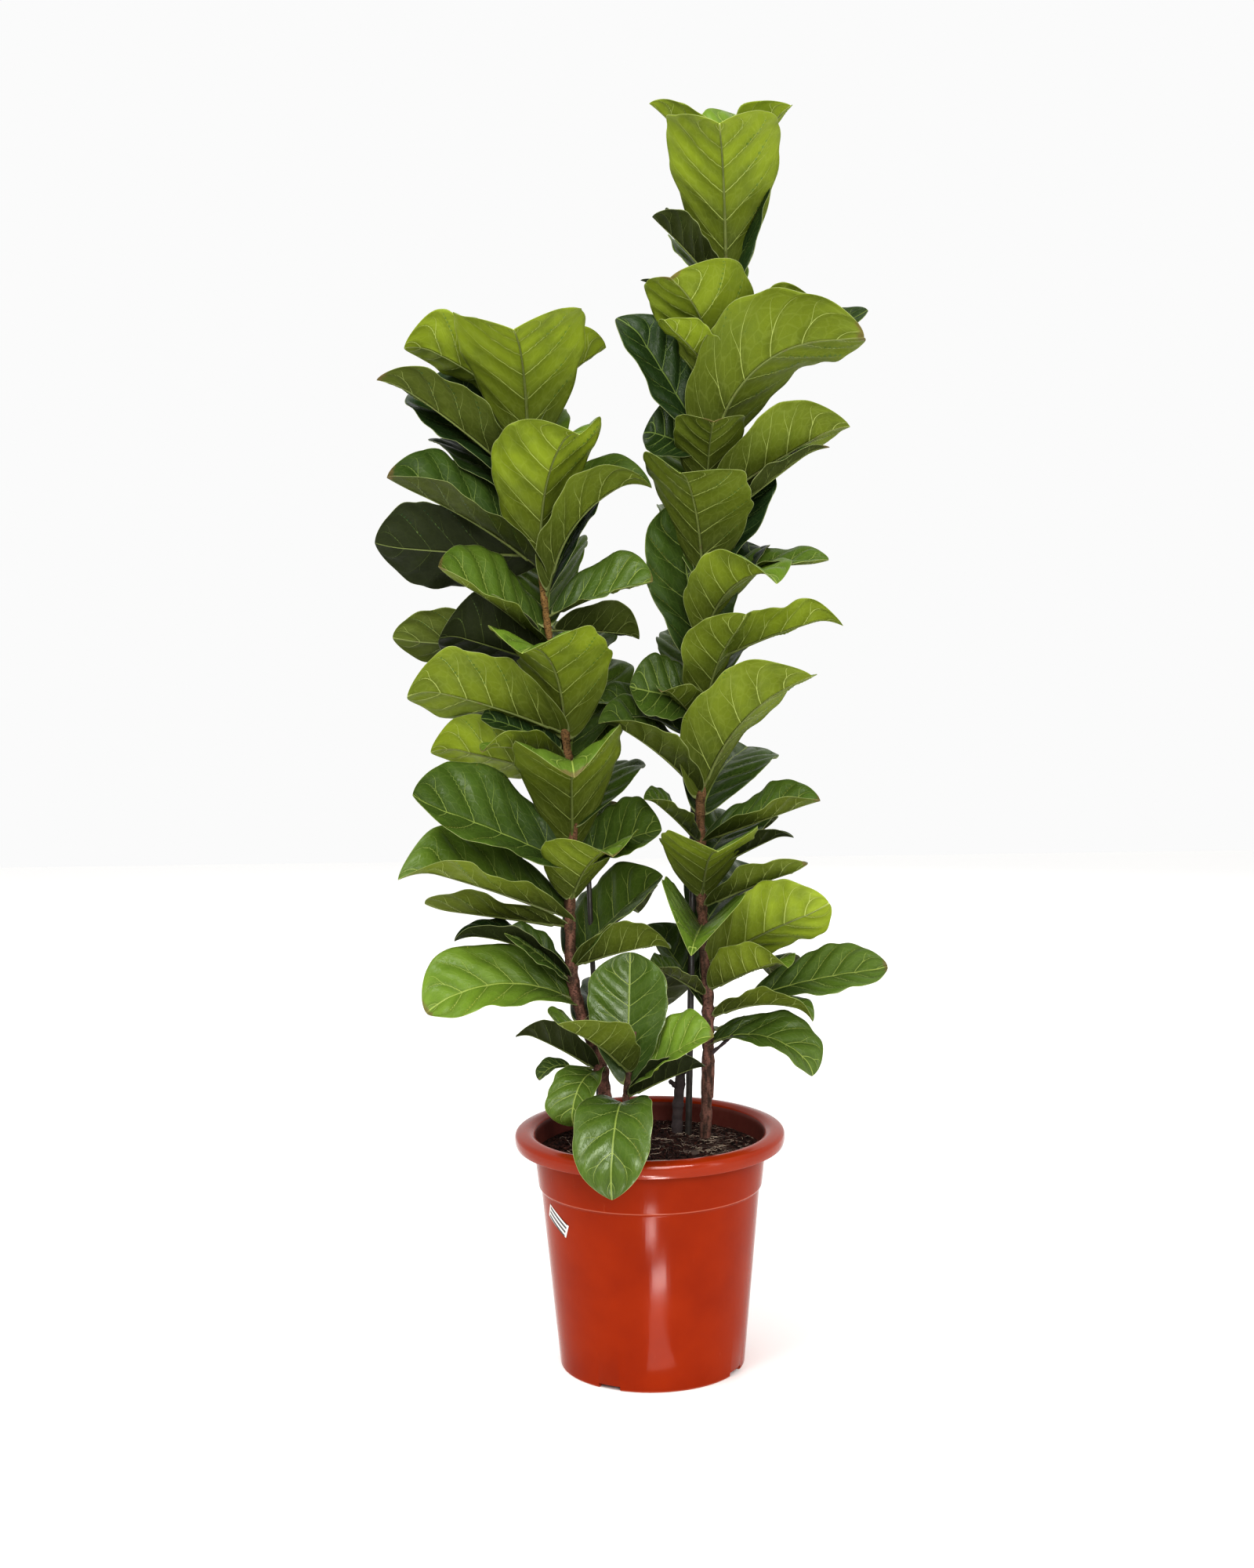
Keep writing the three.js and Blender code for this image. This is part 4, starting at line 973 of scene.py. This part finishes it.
# ---- Soil ---------------------------------------------------------------------------------------
# Dark peat and coir fill the pot to about 30 mm below the top of the lip. The top is crumbly,
# with straw-coloured fibres and chips of bark pressed into it. It lies there by its own weight.
SOIL_TOP = 278
SOIL_GAP = 0.3
MOUND_HEIGHT = 6
MOUND_LONG = 180
MOUND_SHORT = 94
SOIL_RINGS = 100
SOIL_SECTORS = 220
SOIL_ROUGH = 2.2
CLOD_SIZE = 9
CRUMBS = 2600
CRUMB_SIZES = (2.0, 8.0)
CRUMB_FLATNESS = 0.75
CHIPS = 60
CHIP_SIZES = (6.0, 15.0)
CHIP_FLATNESS = 0.28
FIBRES = 260
FIBRE_LENGTHS = (6, 34)
FIBRE_RADII = (0.34, 0.14)
FIBRE_STEPS = 9
FIBRE_LIFT = 0.6
FIBRE_ARCH = 1.6
HEAPED_FIBRES = 0.6  # the share of them in the heap at the right
HEAP = ((84, 32), (12, 48))  # the heap's middle and spread, along x and along y
PEAT_DARK = (0.011, 0.005, 0.004)
PEAT_BROWN = (0.064, 0.020, 0.013)
PEAT_FLECKS = (0.20, 0.13, 0.07)
CHIP_DARK = (0.03, 0.016, 0.011)
CHIP_PALE = (0.13, 0.075, 0.05)
STRAW = (0.62, 0.50, 0.38)
STRAW_DARK = (0.09, 0.05, 0.035)
random.seed(11)


def soil_level(x, y):
    """Height of the soil's top: broad mounds crossed by narrow ones, level at the wall."""
    long, short = 2 * math.pi / MOUND_LONG, 2 * math.pi / MOUND_SHORT
    swell = math.sin(x * long + 1) * math.cos(y * long) + math.sin((x + y) * short) / 2
    ease = min(1, max(0, (soil_radius - math.hypot(x, y)) / 20))
    return SOIL_TOP + ease * MOUND_HEIGHT * (swell + 1.5) / 3


soil_shell = WALL + SOIL_GAP
soil_radius = wall_radius(SOIL_TOP) - soil_shell
soil_rings = [
    (FOOT_RADIUS - soil_shell, FLOOR_TOP + SOIL_GAP),
    (COLLAR_LOW_RADIUS - STEP_IN - soil_shell, STEP_HEIGHT - WALL),
    (COLLAR_LOW_RADIUS - soil_shell, STEP_HEIGHT + 1 + SOIL_GAP),
]
soil_rings += [(soil_radius * i / SOIL_RINGS, None) for i in range(SOIL_RINGS, 0, -1)]
soil_points = []
for r, z in soil_rings:
    for k in range(SOIL_SECTORS):
        angle = 2 * math.pi * k / SOIL_SECTORS
        x, y = r * math.cos(angle), r * math.sin(angle)
        rough = noise.turbulence(Vector((x, y, 0)) / CLOD_SIZE, 4, False) - 0.9
        rough *= SOIL_ROUGH * min(1, (soil_radius - r) / 4)
        soil_points.append((x, y, soil_level(x, y) + rough if z is None else z))
soil_points += [(0, 0, FLOOR_TOP + SOIL_GAP), (0, 0, soil_level(0, 0))]
soil = (soil_points, round_faces(len(soil_rings), SOIL_SECTORS))

peat = new_material("peat", PEAT_BROWN, 0.95, Specular_IOR_Level=0.12)
clods = mottle(peat, 5, detail=8.0)
colour = tinted(peat, spread(peat, clods, 0.35, 0.7), PEAT_DARK, PEAT_BROWN)
flecks = spread(peat, mottle(peat, 1.2, detail=2.0), 0.68, 0.74, 0.0, 0.35)
dress(peat, tinted(peat, flecks, colour, PEAT_FLECKS), height=clods, depth=2.0)
place(new_piece("soil_body", soil, [peat]), "soil", "soil")


def spot_on_soil(margin):
    """A random point on the soil's top, at least margin from the wall."""
    r = (soil_radius - margin) * math.sqrt(random.random())
    angle = random.uniform(0, 2 * math.pi)
    x, y = r * math.cos(angle), r * math.sin(angle)
    return np.array((x, y, soil_level(x, y)))


def lumps(count, sizes, flatness, margin):
    """Small angular lumps, half sunk in the soil; flatness squashes them."""
    template = bmesh.new()
    bmesh.ops.create_icosphere(template, subdivisions=1, radius=1)
    ball = np.array([vertex.co[:] for vertex in template.verts])
    faces = [tuple(vertex.index for vertex in face.verts) for face in template.faces]
    template.free()
    parts = []
    for _ in range(count):
        size = random.uniform(*sizes) * random.random() ** 0.5
        shape = ball * np.array([[random.uniform(0.6, 1.25)] for _ in ball]) * size / 2
        shape[:, 2] *= flatness
        shape[:, 0] *= random.uniform(0.6, 1.4)
        turned = Matrix.Rotation(random.uniform(0, 6.3), 3, "Z")
        turned = turned @ Matrix.Rotation(random.uniform(-0.6, 0.6), 3, "X")
        parts.append((shape @ np.array(turned).T + spot_on_soil(margin + size), faces))
    return joined(parts)


crumbs = lumps(CRUMBS, CRUMB_SIZES, CRUMB_FLATNESS, 1)
place(new_piece("soil_crumbs", crumbs, [peat], smooth=False), "soil", "soil")
chips = lumps(CHIPS, CHIP_SIZES, CHIP_FLATNESS, 4)
chip_bark = new_material("bark_chips", CHIP_DARK, 0.85)
colour = tinted(chip_bark, mottle(chip_bark, 6), CHIP_DARK, CHIP_PALE)
dress(chip_bark, colour, height=mottle(chip_bark, 2), depth=1.0)
place(new_piece("soil_bark_chips", chips, [chip_bark], smooth=False), "soil", "soil")

fibre_parts = []
for _ in range(FIBRES):
    x, y, _ = spot_on_soil(14)
    if random.random() < HEAPED_FIBRES:
        x, y = (random.gauss(*along) for along in HEAP)
    heading = random.uniform(0, 2 * math.pi)
    curl = random.uniform(-0.09, 0.09)
    length = random.uniform(*FIBRE_LENGTHS)
    line = []
    for step in range(FIBRE_STEPS):
        x += math.cos(heading) * length / FIBRE_STEPS
        y += math.sin(heading) * length / FIBRE_STEPS
        heading += curl * random.uniform(1, 6)
        off = math.hypot(x, y)
        if off > soil_radius - 3:
            x, y = x * (soil_radius - 3) / off, y * (soil_radius - 3) / off
        arch = FIBRE_ARCH * math.sin(step / (FIBRE_STEPS - 1) * math.pi) * random.random()
        line.append((x, y, soil_level(x, y) + FIBRE_LIFT + arch))
    fibre_parts.append(tube(line, np.linspace(*FIBRE_RADII, FIBRE_STEPS), 5))
straw = new_material("straw_fibres", STRAW, 0.7)
dress(straw, tinted(straw, spread(straw, mottle(straw, 20), 0.4, 0.62), STRAW_DARK, STRAW))
place(new_piece("soil_fibres", joined(fibre_parts), [straw]), "soil", "soil")

# ---- Floor, light and camera --------------------------------------------------------------------
# A plain pale floor and soft studio lamps, with the camera where the photograph was taken from.
FLOOR_SIDE = 9.0  # metres, as are the places and sizes of the lamps and the camera
FLOOR_PALE = (0.95, 0.945, 0.935)
SKY_STRENGTH = 0.97
VIEW_GAMMA = 0.86
WHITE = (1, 1, 1)
WARM_WHITE = (1, 0.985, 0.95)
# One row is one soft lamp: name, place, the point it looks at, breadth and height, watts, colour,
# and the kind of light that it doesn't give. The glints are aimed at the plastic and give only
# gleams on glossy surfaces.
LAMPS = (
    ("front_lamp", (0.5, -3.4, 1.9), (0, 0, 0.8), (1.0, 1.0), 62, WARM_WHITE, None),
    ("top_lamp", (-1.2, -1.4, 3.0), (0, 0, 0.6), (1.2, 1.2), 60, WHITE, None),
    ("right_strip", (2.2, -1.6, 1.0), (0, 0, 0.7), (0.4, 2.0), 14, WHITE, None),
    ("back_lamp", (0.7, 3.4, 2.2), (0, 0, 0.8), (1.2, 1.2), 32, WHITE, "glossy"),
    ("lip_glint", (0.1, -0.34, 0.54), (0.04, -0.17, 0.3), (0.2, 0.16), 2.6, WHITE, "diffuse"),
    ("high_glint", (-0.004, -0.49, 0.004), (-0.004, -0.49, 1), (0.075, 0.06), 1, WHITE, "diffuse"),
    ("low_glint", (0.044, -0.37, 0.004), (0.044, -0.37, 1), (0.09, 0.055), 0.9, WHITE, "diffuse"),
    ("foot_glint", (0.02, -0.25, 0.004), (0.02, -0.25, 1), (0.07, 0.17), 0.3, WHITE, "diffuse"),
)
far = FLOOR_SIDE / 2 / MM
floor = [(-far, -far, 0), (far, -far, 0), (far, far, 0), (-far, far, 0)], [(0, 1, 2, 3)]
new_piece("floor", floor, [new_material("floor_paint", FLOOR_PALE, 0.8)])

scene = bpy.context.scene
world = bpy.data.worlds.new("studio")
world.use_nodes = True
sky = world.node_tree.nodes["Background"].inputs
sky["Color"].default_value = (*WHITE, 1)
sky["Strength"].default_value = SKY_STRENGTH
scene.world = world
scene.view_settings.view_transform = "Standard"
scene.view_settings.gamma = VIEW_GAMMA
for name, spot, aim, (breadth, height), watts, colour, left_out in LAMPS:
    data = bpy.data.lights.new(name, "AREA")
    data.shape = "RECTANGLE"
    data.size = breadth
    data.size_y = height
    data.energy = watts
    data.color = colour
    lamp = bpy.data.objects.new(name, data)
    lamp.location = spot
    lamp.rotation_euler = (Vector(aim) - Vector(spot)).to_track_quat("-Z", "Y").to_euler()
    lamp.visible_camera = False
    lamp.visible_diffuse = left_out != "diffuse"
    lamp.visible_glossy = left_out != "glossy"
    scene.collection.objects.link(lamp)

CAMERA_PLACE = (-0.023, -2.832, 1.069)
CAMERA_TILT = 6.4
CAMERA_ROLL = -0.8
CAMERA_LENS = 51.84
CAMERA_SENSOR = 36
camera_data = bpy.data.cameras.new("camera")
camera_data.lens = CAMERA_LENS
camera_data.sensor_width = CAMERA_SENSOR
camera = bpy.data.objects.new("camera", camera_data)
camera.matrix_world = (
    Matrix.Translation(CAMERA_PLACE)
    @ Matrix.Rotation(math.radians(90 - CAMERA_TILT), 4, "X")
    @ Matrix.Rotation(math.radians(CAMERA_ROLL), 4, "Z")
)
scene.collection.objects.link(camera)
scene.camera = camera
